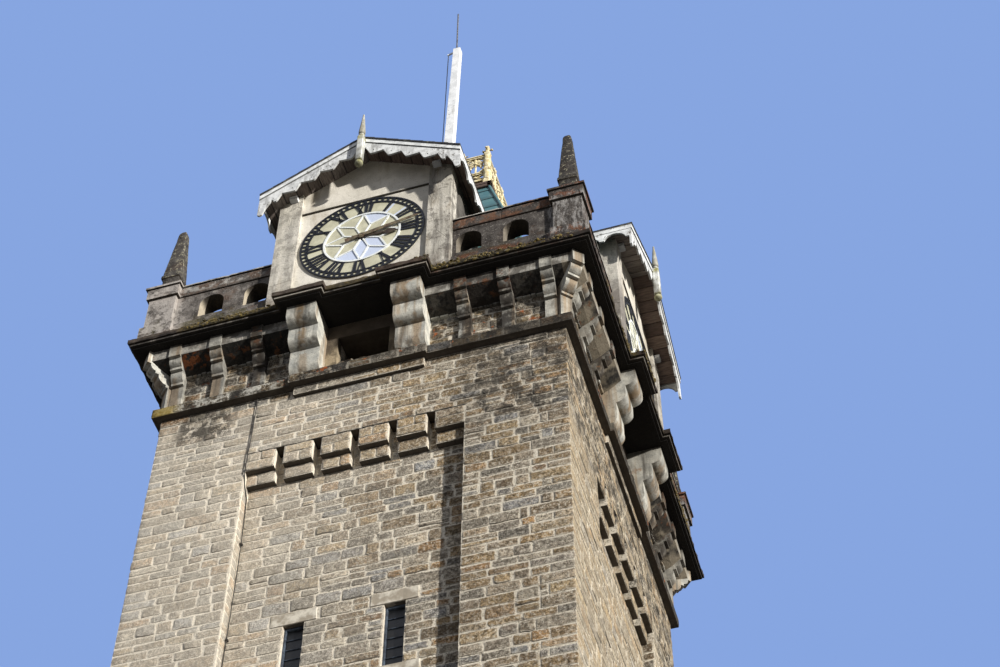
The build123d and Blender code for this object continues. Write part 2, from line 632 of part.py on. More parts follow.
with BuildPart() as front_hour_hand:
    add(hour_set)
front_hour_hand.part.label = "front_hour_hand"
with BuildPart() as front_minute_hand:
    add(minute_set)
front_minute_hand.part.label = "front_minute_hand"
with BuildPart() as right_hour_hand:
    add(hour_set.rotate(Axis.Z, 90))
right_hour_hand.part.label = "right_hour_hand"
with BuildPart() as right_minute_hand:
    add(minute_set.rotate(Axis.Z, 90))
right_minute_hand.part.label = "right_minute_hand"
with BuildPart() as back_hour_hand:
    add(hour_set.rotate(Axis.Z, 180))
back_hour_hand.part.label = "back_hour_hand"
with BuildPart() as back_minute_hand:
    add(minute_set.rotate(Axis.Z, 180))
back_minute_hand.part.label = "back_minute_hand"
with BuildPart() as left_hour_hand:
    add(hour_set.rotate(Axis.Z, 270))
left_hour_hand.part.label = "left_hour_hand"
with BuildPart() as left_minute_hand:
    add(minute_set.rotate(Axis.Z, 270))
left_minute_hand.part.label = "left_minute_hand"

# ---- cresting and flagpole -----------------------------------------------------
CZ = Z_DECK
MOD = 2 * CREST_HALF / 6
with BuildPart() as crest_side:
    L = 2 * CREST_HALF - 80
    for z, h in ((CZ + 190, 60), (CZ + 385, 44), (CZ + 875, 66)):
        with Locations((0, -CREST_HALF, z)):
            Box(L, 34, h)
    for i in range(1, 6):
        x = -CREST_HALF + i * MOD
        with Locations((x, -CREST_HALF, CZ + 454)):
            Box(46, 34, 908)
        with Locations((x, -CREST_HALF, CZ + 1013)):
            Cone(26, 8, 210)
    with BuildSketch(Plane.XZ.offset(CREST_HALF - 14)):
        for i in range(6):
            x = -CREST_HALF + (i + 0.5) * MOD
            with Locations((x, CZ + 625)):
                Circle(150)
                Circle(122, mode=Mode.SUBTRACT)
    extrude(amount=28)
    with BuildSketch(Plane.XZ.offset(CREST_HALF - 14)):
        for i in range(6):
            x = -CREST_HALF + (i + 0.5) * MOD
            with Locations((x, CZ + 805), (x, CZ + 442)):
                Rectangle(30, 90)
    extrude(amount=28)

with BuildPart() as cresting:
    for k in range(4):
        add(crest_side.part.rotate(Axis.Z, 90 * k))
cresting.part.label = "cresting"

with BuildPart() as cresting_posts:
    for sx in (-1, 1):
        for sy in (-1, 1):
            with Locations((sx * CREST_HALF, sy * CREST_HALF, CZ + 460)):
                Box(79, 79, 920)
            with Locations((sx * CREST_HALF, sy * CREST_HALF, CZ + 1035)):
                Box(44, 44, 230)
            with Locations((sx * CREST_HALF, sy * CREST_HALF, CZ + 1022)):
                Box(170, 22, 26)
                Box(22, 170, 26)
cresting_posts.part.label = "cresting_posts"

with BuildPart() as flagpole:
    with BuildSketch(Plane.XY.offset(Z_DECK)):
        with Locations((POLE_X0, 0)):
            Rectangle(180, 180)
    with BuildSketch(Plane.XY.offset(POLE_TOP)):
        with Locations((POLE_X1, 0)):
            Rectangle(132, 132)
    loft()
    # iron arm that holds the halyard clear of the pole
    with BuildSketch(Plane.XZ.offset(-10)):
        with BuildLine():
            Polyline((POLE_X1 - 40, POLE_TOP + 2), (-12, POLE_TOP - 56), (-12, POLE_TOP - 86),
                     (24, POLE_TOP - 86), (POLE_X1 - 40, POLE_TOP - 34), close=True)
        make_face()
    extrude(amount=20)
    # cleat for the halyard
    with Locations((CLEAT_X - 16, 0, CLEAT_Z)):
        Box(52, 36, 60)
flagpole.part.label = "flagpole"

with BuildPart() as lightning_rod:
    with Locations((ROD_X, 0, (POLE_TOP + ROD_TOP) / 2)):
        Cylinder(14, ROD_TOP - POLE_TOP)
lightning_rod.part.label = "lightning_rod"

# rope from the arm down to the cleat
R_TOP, R_END = (8, POLE_TOP - 86.3), (CLEAT_X - 20, CLEAT_Z + 30.3)
R_LEN = ((R_END[0] - R_TOP[0]) ** 2 + (R_END[1] - R_TOP[1]) ** 2) ** 0.5
with BuildPart() as halyard:
    with BuildSketch(Plane(origin=(R_TOP[0], 0, R_TOP[1]),
                           z_dir=(R_END[0] - R_TOP[0], 0, R_END[1] - R_TOP[1]))):
        Circle(8)
    extrude(amount=R_LEN)
halyard.part.label = "halyard"

# ---- write every piece -----------------------------------------------------------
export_step(plinth.part, "parts/plinth.step")
export_step(ground_floor.part, "parts/ground_floor.step")
export_step(corner_pilasters.part, "parts/corner_pilasters.step")
export_step(front_panel.part, "parts/front_panel.step")
export_step(right_panel.part, "parts/right_panel.step")
export_step(back_panel.part, "parts/back_panel.step")
export_step(left_panel.part, "parts/left_panel.step")
export_step(slit_windows.part, "parts/slit_windows.step")
export_step(panel_corbels.part, "parts/panel_corbels.step")
export_step(upper_walls_front_back.part, "parts/upper_walls_front_back.step")
export_step(upper_walls_sides.part, "parts/upper_walls_sides.step")
export_step(string_course.part, "parts/string_course.step")
export_step(bay_ledges.part, "parts/bay_ledges.step")
export_step(big_corbels.part, "parts/big_corbels.step")
export_step(small_corbels.part, "parts/small_corbels.step")
export_step(corner_corbels.part, "parts/corner_corbels.step")
export_step(corbel_lintels.part, "parts/corbel_lintels.step")
export_step(cornice.part, "parts/cornice.step")
export_step(parapets.part, "parts/parapets.step")
export_step(parapet_copings.part, "parts/parapet_copings.step")
export_step(corner_piers.part, "parts/corner_piers.step")
export_step(pinnacles.part, "parts/pinnacles.step")
export_step(roof_front_back.part, "parts/roof_front_back.step")
export_step(roof_sides.part, "parts/roof_sides.step")
export_step(roof_deck.part, "parts/roof_deck.step")
export_step(gable_walls.part, "parts/gable_walls.step")
export_step(gable_cheeks.part, "parts/gable_cheeks.step")
export_step(gable_roofs.part, "parts/gable_roofs.step")
export_step(bargeboards.part, "parts/bargeboards.step")
export_step(eave_boards.part, "parts/eave_boards.step")
export_step(gable_finials.part, "parts/gable_finials.step")
export_step(dial_glasses.part, "parts/dial_glasses.step")
export_step(dial_frames.part, "parts/dial_frames.step")
export_step(front_hour_hand.part, "parts/front_hour_hand.step")
export_step(front_minute_hand.part, "parts/front_minute_hand.step")
export_step(right_hour_hand.part, "parts/right_hour_hand.step")
export_step(right_minute_hand.part, "parts/right_minute_hand.step")
export_step(back_hour_hand.part, "parts/back_hour_hand.step")
export_step(back_minute_hand.part, "parts/back_minute_hand.step")
export_step(left_hour_hand.part, "parts/left_hour_hand.step")
export_step(left_minute_hand.part, "parts/left_minute_hand.step")
export_step(cresting.part, "parts/cresting.step")
export_step(cresting_posts.part, "parts/cresting_posts.step")
export_step(flagpole.part, "parts/flagpole.step")
export_step(lightning_rod.part, "parts/lightning_rod.step")
export_step(halyard.part, "parts/halyard.step")
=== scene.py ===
import bpy, math, random
from math import sin, cos, pi, radians
from mathutils import Vector, Matrix, noise


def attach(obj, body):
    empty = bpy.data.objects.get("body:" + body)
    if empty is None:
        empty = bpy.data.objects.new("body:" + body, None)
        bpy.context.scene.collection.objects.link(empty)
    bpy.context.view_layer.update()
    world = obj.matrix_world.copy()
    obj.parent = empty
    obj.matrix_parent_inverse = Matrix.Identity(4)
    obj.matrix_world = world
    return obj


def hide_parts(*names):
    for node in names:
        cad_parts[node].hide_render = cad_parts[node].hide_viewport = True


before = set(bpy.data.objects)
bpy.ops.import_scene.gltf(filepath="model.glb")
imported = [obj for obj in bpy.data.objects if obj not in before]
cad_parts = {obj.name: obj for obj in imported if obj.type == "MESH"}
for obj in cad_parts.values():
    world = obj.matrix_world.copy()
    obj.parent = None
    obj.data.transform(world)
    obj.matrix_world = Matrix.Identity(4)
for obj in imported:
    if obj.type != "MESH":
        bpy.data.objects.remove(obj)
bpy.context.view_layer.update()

# ---------------------------------------------------------------- camera
ZS = 22.33                      # underside of the string course
CAM = Vector((6.497, -17.929, 1.604))
yaw, pitch, roll = -0.2953, 0.9219, 0.0053
fwd = Vector((sin(yaw) * cos(pitch), cos(yaw) * cos(pitch), sin(pitch)))
right = Vector((cos(yaw), -sin(yaw), 0.0))
up = right.cross(fwd)
r2 = right * cos(roll) + up * sin(roll)
u2 = -right * sin(roll) + up * cos(roll)
cam_data = bpy.data.cameras.new("camera")
cam_data.sensor_fit = "HORIZONTAL"
cam_data.sensor_width = 36.0
cam_data.lens = 2052.4 / 1000 * 36.0
cam_data.clip_end = 500
cam = bpy.data.objects.new("camera", cam_data)
bpy.context.scene.collection.objects.link(cam)
m = Matrix((r2, u2, -fwd)).transposed().to_4x4()
m.translation = CAM
cam.matrix_world = m
bpy.context.scene.camera = cam
bpy.context.scene.view_settings.view_transform = "Standard"


def C(r, g, b):
    """Linear colour from display values 0-1."""
    f = lambda c: c / 12.92 if c <= 0.04045 else ((c + 0.055) / 1.055) ** 2.4
    return (f(r), f(g), f(b), 1.0)


# ---------------------------------------------------------------- light
world = bpy.data.worlds.new("studio")
bpy.context.scene.world = world
world.use_nodes = True
wt = world.node_tree
wt.nodes.clear()
w_out = wt.nodes.new("ShaderNodeOutputWorld")
w_co = wt.nodes.new("ShaderNodeTexCoord")
w_sep = wt.nodes.new("ShaderNodeSeparateXYZ")
w_ramp = wt.nodes.new("ShaderNodeValToRGB")
w_light = wt.nodes.new("ShaderNodeBackground")
w_seen = wt.nodes.new("ShaderNodeBackground")
w_path = wt.nodes.new("ShaderNodeLightPath")
w_mix = wt.nodes.new("ShaderNodeMixShader")
w_map = wt.nodes.new("ShaderNodeMapRange")
w_map.inputs["From Min"].default_value = -0.25
w_map.inputs["From Max"].default_value = 0.35
wt.links.new(w_co.outputs["Generated"], w_sep.inputs[0])
wt.links.new(w_sep.outputs["Z"], w_map.inputs["Value"])
wt.links.new(w_map.outputs[0], w_ramp.inputs[0])
w_ramp.color_ramp.elements[0].color = (0.118, 0.110, 0.100, 1)
w_ramp.color_ramp.elements[1].color = (0.44, 0.465, 0.53, 1)
wt.links.new(w_ramp.outputs[0], w_light.inputs[0])
w_light.inputs[1].default_value = 1.0
w_seen.inputs[0].default_value = C(0.53, 0.65, 0.88)
w_seen.inputs[1].default_value = 1.0
wt.links.new(w_path.outputs["Is Camera Ray"], w_mix.inputs[0])
wt.links.new(w_light.outputs[0], w_mix.inputs[1])
wt.links.new(w_seen.outputs[0], w_mix.inputs[2])
wt.links.new(w_mix.outputs[0], w_out.inputs[0])

sun_data = bpy.data.lights.new("key", "SUN")
sun_data.energy = 5.9
sun_data.angle = radians(1.6)
sun_data.color = (1.0, 0.962, 0.90)
sun = bpy.data.objects.new("key", sun_data)
bpy.context.scene.collection.objects.link(sun)
SUN_DIR = Vector((-1.85, 1.0, -0.45)).normalized()
sun.rotation_euler = SUN_DIR.to_track_quat("-Z", "Y").to_euler()

# ---------------------------------------------------------------- floor
me = bpy.data.meshes.new("floor")
me.from_pydata([(-16, -16, 0), (16, -16, 0), (16, 16, 0), (-16, 16, 0)], [], [(0, 1, 2, 3)])
floor = bpy.data.objects.new("floor", me)
bpy.context.scene.collection.objects.link(floor)
fm = bpy.data.materials.new("floor_pale")
fm.use_nodes = True
fm.node_tree.nodes["Principled BSDF"].inputs["Base Color"].default_value = (0.42, 0.42, 0.41, 1)
fm.node_tree.nodes["Principled BSDF"].inputs["Roughness"].default_value = 0.9
me.materials.append(fm)


# ---------------------------------------------------------------- material helper
class Mat:
    def __init__(s, name, rough=0.85, metal=0.0, spec=0.3):
        s.m = bpy.data.materials.new(name)
        s.m.use_nodes = True
        s.t = s.m.node_tree
        s.t.nodes.clear()
        s.b = s.nd("ShaderNodeBsdfPrincipled")
        out = s.nd("ShaderNodeOutputMaterial")
        s.t.links.new(s.b.outputs[0], out.inputs[0])
        s.b.inputs["Roughness"].default_value = rough
        s.b.inputs["Metallic"].default_value = metal
        s.b.inputs["Specular IOR Level"].default_value = spec
        s.P = s.nd("ShaderNodeTexCoord").outputs["Object"]
        g = s.nd("ShaderNodeNewGeometry")
        s.N = g.outputs["Normal"]
        sp = s.nd("ShaderNodeSeparateXYZ")
        s.put(sp.inputs[0], s.P)
        s.x, s.y, s.z = sp.outputs
        sn = s.nd("ShaderNodeSeparateXYZ")
        s.put(sn.inputs[0], s.N)
        s.nx, s.ny, s.nz = sn.outputs
        # distance out from the tower's axis, square plan, and distance along the face
        ax, ay = s.f("ABSOLUTE", s.x), s.f("ABSOLUTE", s.y)
        s.o = s.f("MAXIMUM", ax, ay)
        s.au = s.f("MINIMUM", ax, ay)
        s.h = s.f("SUBTRACT", s.z, ZS)
        # signed distance along the face, to the right as seen from outside
        side = s.f("GREATER_THAN", ax, ay)
        s.u = s.f("SUBTRACT", s.f("MULTIPLY", side, s.f("MULTIPLY", s.y, s.f("SIGN", s.x))),
                  s.f("MULTIPLY", s.f("SUBTRACT", 1.0, side), s.f("MULTIPLY", s.x, s.f("SIGN", s.y))))
        s.bumps = None

    def nd(s, kind, **kw):
        n = s.t.nodes.new(kind)
        for k, v in kw.items():
            setattr(n, k, v)
        return n

    def put(s, sock, v):
        if isinstance(v, bpy.types.NodeSocket):
            s.t.links.new(v, sock)
        else:
            sock.default_value = v

    def f(s, op, a, b=None, c=None, clamp=False):
        n = s.nd("ShaderNodeMath", operation=op, use_clamp=clamp)
        s.put(n.inputs[0], a)
        if b is not None:
            s.put(n.inputs[1], b)
        if c is not None:
            s.put(n.inputs[2], c)
        return n.outputs[0]

    def mix(s, fac, a, b, mode="MIX"):
        n = s.nd("ShaderNodeMix", data_type="RGBA", blend_type=mode)
        n.clamp_factor = True
        s.put(n.inputs[0], fac)
        s.put(n.inputs[6], a)
        s.put(n.inputs[7], b)
        return n.outputs[2]

    def scl(s, v, k, off=None):
        n = s.nd("ShaderNodeMapping")
        s.put(n.inputs["Vector"], v)
        n.inputs["Scale"].default_value = k
        if off is not None:
            s.put(n.inputs["Location"], off)
        return n.outputs[0]

    def noise(s, scale, detail=3.0, rough=0.55, vec=None, out=0, dist=0.0):
        n = s.nd("ShaderNodeTexNoise")
        s.put(n.inputs["Vector"], s.P if vec is None else vec)
        n.inputs["Scale"].default_value = scale
        n.inputs["Detail"].default_value = detail
        n.inputs["Roughness"].default_value = rough
        n.inputs["Distortion"].default_value = dist
        return n.outputs[out]

    def vor(s, scale, vec=None, feature="F1", out="Distance", rnd=1.0):
        n = s.nd("ShaderNodeTexVoronoi", feature=feature)
        s.put(n.inputs["Vector"], s.P if vec is None else vec)
        n.inputs["Scale"].default_value = scale
        n.inputs["Randomness"].default_value = rnd
        return n.outputs[out]

    def rng(s, v, a, b, c=0.0, d=1.0, smooth=True):
        n = s.nd("ShaderNodeMapRange", interpolation_type="SMOOTHSTEP" if smooth else "LINEAR")
        s.put(n.inputs["Value"], v)
        n.inputs["From Min"].default_value = a
        n.inputs["From Max"].default_value = b
        n.inputs["To Min"].default_value = c
        n.inputs["To Max"].default_value = d
        return n.outputs[0]

    def band(s, v, a, b, soft):
        """1 between a and b, 0 outside."""
        return s.f("MULTIPLY", s.rng(v, a - soft, a + soft), s.rng(v, b - soft, b + soft, 1.0, 0.0))

    def mul(s, *a):
        r = a[0]
        for q in a[1:]:
            r = s.f("MULTIPLY", r, q)
        return r

    def ramp(s, fac, stops, mode="LINEAR"):
        n = s.nd("ShaderNodeValToRGB")
        s.put(n.inputs[0], fac)
        e = n.color_ramp.elements
        n.color_ramp.interpolation = mode
        while len(e) < len(stops):
            e.new(0.5)
        for q, (p, c) in zip(e, stops):
            q.position = p
            q.color = c
        return n.outputs[0]

    def attr(s, name="tint"):
        n = s.nd("ShaderNodeAttribute", attribute_name=name)
        sp = s.nd("ShaderNodeSeparateColor")
        s.put(sp.inputs[0], n.outputs["Color"])
        return sp.outputs[0], sp.outputs[1], sp.outputs[2], n.outputs["Alpha"]

    def offset(s, seed, k=(17.0, 31.0, 23.0)):
        """Object coordinates moved by a seed, so that every stone has its own grain."""
        n = s.nd("ShaderNodeVectorMath", operation="MULTIPLY_ADD")
        cb = s.nd("ShaderNodeCombineXYZ")
        for i in range(3):
            s.put(cb.inputs[i], seed)
        s.put(n.inputs[0], cb.outputs[0])
        n.inputs[1].default_value = k
        s.put(n.inputs[2], s.P)
        return n.outputs[0]

    def bump(s, h, dist, strength=1.0):
        n = s.nd("ShaderNodeBump")
        s.put(n.inputs["Height"], h)
        n.inputs["Distance"].default_value = dist
        n.inputs["Strength"].default_value = strength
        if s.bumps is not None:
            s.put(n.inputs["Normal"], s.bumps)
        s.bumps = n.outputs[0]

    def done(s, col, rough=None):
        s.put(s.b.inputs["Base Color"], col)
        if rough is not None:
            s.put(s.b.inputs["Roughness"], rough)
        if s.bumps is not None:
            s.put(s.b.inputs["Normal"], s.bumps)
        return s.m


def soot_and_shade_under(M, col, amount=0.9, soot_shade_col=C(0.20, 0.18, 0.165)):
    """Soot, damp and painted shade on faces that look down."""
    k = M.f("MULTIPLY", M.rng(M.nz, -0.25, -0.75), amount)
    grime_shade = M.mix(M.noise(9.0, 4.0), soot_shade_col, C(0.30, 0.27, 0.235))
    return M.mix(k, col, grime_shade)


def shaft_stain_and_painted_light(M, col):
    """Paler towards the left-hand side; dark runs and blotches below and on the string course; painted light on the
    right-hand face, which faces the sun, and a painted shadow line along the tops of the panel head blocks.
    """
    low = M.rng(M.h, 0.0, -0.3)
    # painted light: stones of the right-hand face, which faces the sun, lightened below the string course
    col = M.mix(M.mul(M.rng(M.x, 2.55, 2.60), M.rng(M.nx, 0.6, 0.9), low, 0.26), col, C(0.95, 0.875, 0.74))
    col = M.mix(M.mul(M.rng(M.x, 1.4, -1.9), low, 0.42), col, C(0.94, 0.905, 0.84))
    col = M.mix(M.mul(M.rng(M.x, 1.0, 1.6), low, 0.08), col, C(0.27, 0.245, 0.21))
    streak = M.noise(1.0, 5.0, 0.6, M.scl(M.P, (3.4, 3.4, 0.9)))
    blot = M.noise(5.0, 6.0, 0.78)
    high = M.rng(M.h, -1.15, -0.05)
    side = M.rng(M.au, 1.0, 1.7, 0.35, 0.75)
    a = M.mul(high, M.rng(streak, 0.42, 0.62), side)
    col = M.mix(M.f("MULTIPLY", a, 0.62), col, C(0.27, 0.25, 0.22))
    mott = M.mul(M.rng(M.x, 1.1, 1.6), M.band(M.h, -1.6, 0.0, 0.30), M.rng(blot, 0.45, 0.58))
    col = M.mix(M.f("MULTIPLY", mott, 0.82), col, C(0.14, 0.13, 0.12))
    patch = M.mul(M.band(M.x, -2.50, -1.72, 0.12), M.band(M.h, -0.60, -0.06, 0.12), M.rng(blot, 0.45, 0.51))
    col = M.mix(M.f("MULTIPLY", patch, 0.80), col, C(0.19, 0.175, 0.155))
    big = M.rng(M.noise(0.55, 3.0), 0.40, 0.70)
    col = M.mix(M.f("MULTIPLY", big, 0.16), col, C(0.38, 0.355, 0.32))
    # string course: grimy, greenish at its left end, rust marks here and there
    crs = M.mul(M.band(M.h, -0.004, 0.166, 0.004), M.rng(M.o, 2.79, 2.83))
    col = M.mix(M.mul(crs, M.rng(M.x, 0.5, 1.6, 0.54, 0.78)), col, C(0.165, 0.15, 0.13))
    col = M.mix(M.mul(crs, M.rng(M.x, -0.9, -1.3), M.rng(blot, 0.50, 0.55), 0.75), col, C(0.80, 0.79, 0.75))
    col = M.mix(M.mul(crs, M.rng(blot, 0.47, 0.42), 0.80), col, C(0.13, 0.12, 0.11))
    col = M.mix(M.mul(crs, M.rng(M.x, -2.40, -2.62), M.rng(blot, 0.42, 0.50), 0.85), col, C(0.56, 0.48, 0.20))
    stage = M.mul(M.band(M.h, 0.10, 1.20, 0.04), M.rng(M.noise(4.6, 5.0, 0.7), 0.42, 0.60))
    col = M.mix(M.f("MULTIPLY", stage, 0.70), col, C(0.16, 0.145, 0.125))
    orange = M.mul(M.band(M.h, 0.05, 0.62, 0.05), M.rng(M.noise(6.3, 4.0, 0.6), 0.60, 0.66))
    col = M.mix(M.f("MULTIPLY", orange, 0.75), col, C(0.62, 0.33, 0.14))
    # painted shadow: dark line in the gap along the top of the panel head blocks
    return M.mix(M.mul(M.band(M.h, -1.098, -1.074, 0.004), M.rng(M.au, 1.45, 1.43)), col, C(0.13, 0.12, 0.11))


def mortar_col(M, fine, mid):
    c = M.mix(mid, C(0.87, 0.84, 0.775), C(0.755, 0.715, 0.65))
    c = M.mix(M.rng(fine, 0.42, 0.62), c, C(0.83, 0.80, 0.735))
    c = M.mix(M.rng(M.noise(60.0, 2.0), 0.56, 0.68), c, C(0.33, 0.30, 0.26))
    return M.mix(M.rng(M.noise(13.0, 4.0, 0.7), 0.58, 0.64, 0.0, 0.7), c, C(0.30, 0.26, 0.20))


# ---- rubble stone faces
def make_stone():
    M = Mat("rubble_stone", 0.9, 0, 0.25)
    pick, bright, seed, edge = M.attr()
    V = M.offset(seed)
    pal = M.ramp(pick, [(0.00, C(0.79, 0.665, 0.47)), (0.14, C(0.64, 0.53, 0.385)), (0.28, C(0.77, 0.72, 0.64)),
                        (0.42, C(0.55, 0.53, 0.49)), (0.54, C(0.70, 0.71, 0.72)), (0.64, C(0.82, 0.71, 0.53)),
                        (0.75, C(0.55, 0.46, 0.345)), (0.86, C(0.85, 0.80, 0.71)), (0.94, C(0.78, 0.60, 0.37)),
                        (1.0, C(0.64, 0.49, 0.33))])
    grain = M.noise(28.0, 6.0, 0.85, V)
    speck = M.noise(62.0, 3.0, 0.7, V)
    mid = M.noise(13.0, 4.0, 0.65, V)
    c = M.mix(M.rng(mid, 0.40, 0.60), M.mix(0.58, pal, C(0.31, 0.27, 0.22)), pal)
    c = M.mix(M.rng(mid, 0.57, 0.70, 0.0, 0.45), c, C(0.85, 0.81, 0.74))
    c = M.mix(M.rng(grain, 0.40, 0.49, 0.88, 0.0), c, C(0.20, 0.17, 0.13))
    c = M.mix(M.rng(grain, 0.52, 0.60, 0.0, 0.78), c, C(0.93, 0.90, 0.83))
    c = M.mix(M.rng(speck, 0.37, 0.44, 0.75, 0.0), c, C(0.16, 0.14, 0.115))
    rust = M.mul(M.rng(M.noise(5.0, 3.0, 0.5, V), 0.60, 0.72), 0.20)
    c = M.mix(rust, c, C(0.60, 0.45, 0.30))
    c = M.mix(M.rng(bright, 0.0, 1.0, 0.46, 0.0, False), c, C(0.24, 0.215, 0.18))
    smear = M.rng(M.f("ADD", M.noise(9.0, 5.0, 0.72), M.f("MULTIPLY", edge, 0.36)), 0.58, 0.80)
    c = M.mix(M.f("MULTIPLY", smear, 0.72), c, mortar_col(M, grain, M.noise(2.3, 3.0)))
    c = shaft_stain_and_painted_light(M, c)
    c = soot_and_shade_under(M, c, 0.55)
    M.bump(M.noise(10.0, 5.0, 0.68, V), 0.060, 0.7)
    M.bump(grain, 0.024, 0.9)
    return M.done(c, M.rng(mid, 0.3, 0.7, 0.82, 0.96))


# ---- mortar and plain wall faces between them
def make_wall():
    M = Mat("rubble_mortar", 0.95, 0, 0.2)
    fine, mid = M.noise(34.0, 4.0, 0.65), M.noise(2.3, 3.0)
    c = mortar_col(M, fine, mid)
    c = M.mix(M.rng(M.noise(6.0, 4.0), 0.56, 0.70, 0.0, 0.6), c, C(0.56, 0.485, 0.375))
    c = shaft_stain_and_painted_light(M, c)
    # smooth render round the bay openings, cream lower down and darkened above by painted shade from the cornice
    bay = M.mul(M.band(M.h, 0.17, 1.20, 0.004), M.rng(M.au, 0.533, 0.528), M.rng(M.o, 2.60, 2.64))
    plain_shaded = M.mix(M.rng(M.h, 0.95, 0.50), C(0.33, 0.295, 0.255), C(0.60, 0.545, 0.45))
    plain_shaded = M.mix(M.rng(M.noise(5.0, 5.0, 0.7), 0.44, 0.62, 0.0, 0.7), plain_shaded, C(0.27, 0.24, 0.205))
    c = M.mix(bay, c, plain_shaded)
    # painted shade inside the openings, darker deeper in
    inside_shade = M.mul(M.rng(M.o, 2.50, 2.30), M.rng(M.h, 0.0, 0.1))
    c = M.mix(M.f("MULTIPLY", inside_shade, 0.85), c, C(0.13, 0.125, 0.12))
    c = soot_and_shade_under(M, c, 0.95)
    M.bump(M.noise(11.0, 5.0, 0.6), 0.030, 0.6)
    M.bump(fine, 0.008, 0.8)
    return M.done(c)


# ---- dark weathered cement of the gallery
def make_cement(name, lift=0.0):
    M = Mat(name, 0.9, 0, 0.25)
    big, mid, fine = M.noise(1.7, 4.0), M.noise(7.0, 5.0, 0.62), M.noise(45.0, 4.0, 0.7)
    streak = M.noise(1.0, 5.0, 0.65, M.scl(M.P, (8, 8, 1.1)))
    c = M.ramp(mid, [(0.30, C(0.21 + lift, 0.20 + lift, 0.19 + lift)), (0.46, C(0.34 + lift, 0.32 + lift, 0.305 + lift)),
                     (0.60, C(0.45 + lift, 0.43 + lift, 0.41 + lift)), (0.74, C(0.60 + lift, 0.58 + lift, 0.55 + lift))])
    c = M.mix(M.rng(streak, 0.50, 0.68, 0.0, 0.75), c, C(0.17, 0.16, 0.15))
    c = M.mix(M.rng(M.noise(2.4, 5.0, 0.7), 0.55, 0.68, 0.0, 0.38), c, C(0.40, 0.29, 0.21))
    c = M.mix(M.rng(fine, 0.55, 0.70, 0.0, 0.6), c, C(0.66, 0.65, 0.63))
    c = M.mix(M.rng(fine, 0.34, 0.46, 0.5, 0.0), c, C(0.12, 0.115, 0.11))
    # moss along ledges and tops
    moss = M.mul(M.rng(M.noise(4.5, 5.0, 0.7), 0.44, 0.60), M.rng(M.nz, 0.1, 0.7))
    low = M.mul(M.band(M.h, 1.36, 1.80, 0.12), M.rng(M.noise(6.0, 4.0), 0.48, 0.62), 0.6)
    c = M.mix(M.f("MAXIMUM", M.f("MULTIPLY", moss, 0.8), low), c, M.mix(fine, C(0.20, 0.195, 0.10), C(0.37, 0.335, 0.18)))
    # browner and darker towards the right, paler at the left end
    rt = M.rng(M.x, -0.2, 1.5)
    c = M.mix(M.f("MULTIPLY", rt, 0.55), c, C(0.15, 0.13, 0.12))
    zones = M.f("MAXIMUM", M.band(M.h, 2.34, 2.60, 0.02), M.rng(M.h, 1.72, 1.60))
    c = M.mix(M.mul(rt, zones, M.rng(M.noise(6.0, 6.0, 0.75), 0.49, 0.57), 0.70), c, C(0.42, 0.24, 0.135))
    lift_l = M.mul(M.rng(M.x, -2.45, -2.70), M.band(M.h, 1.40, 2.62, 0.04), M.rng(M.noise(5.0, 5.0, 0.7), 0.38, 0.54))
    c = M.mix(M.f("MULTIPLY", lift_l, 0.70), c, C(0.72, 0.695, 0.67))
    spots = M.mul(M.rng(M.x, 2.60, 2.66), M.band(M.h, 1.55, 2.42, 0.05), M.rng(M.noise(1.0, 6.0, 0.75, M.scl(M.P, (15.0, 15.0, 4.0))), 0.46, 0.60))
    c = M.mix(M.f("MULTIPLY", spots, 0.62), c, C(0.66, 0.65, 0.64))
    # painted light: arch reveals that face the sun on the right drawn in lit cream, more so towards the left
    rev = M.mul(M.rng(M.nx, 0.5, 0.8), M.band(M.h, 1.78, 2.26, 0.01), M.rng(M.f("ABSOLUTE", M.y), 2.70, 2.72),
                M.rng(M.f("ABSOLUTE", M.x), 2.62, 2.60))
    c = M.mix(M.mul(rev, M.rng(M.x, 0.4, 0.9, 0.75, 0.28)), c, C(0.76, 0.715, 0.63))
    flecks = M.mul(rt, M.rng(M.noise(24.0, 5.0, 0.8), 0.58, 0.63), 0.7)
    c = M.mix(flecks, c, C(0.62, 0.60, 0.57))
    c = M.mix(M.f("MULTIPLY", M.rng(M.h, 2.60, 2.70), 0.52), c, C(0.13, 0.125, 0.12))
    c = M.mix(M.mul(M.rng(M.h, 2.70, 3.0), M.rng(M.noise(16.0, 5.0, 0.75), 0.56, 0.61), 0.8), c, C(0.64, 0.62, 0.53))
    c = soot_and_shade_under(M, c, 0.95, C(0.13, 0.12, 0.11))
    M.bump(mid, 0.05, 0.5)
    M.bump(fine, 0.010, 0.9)
    return M, c


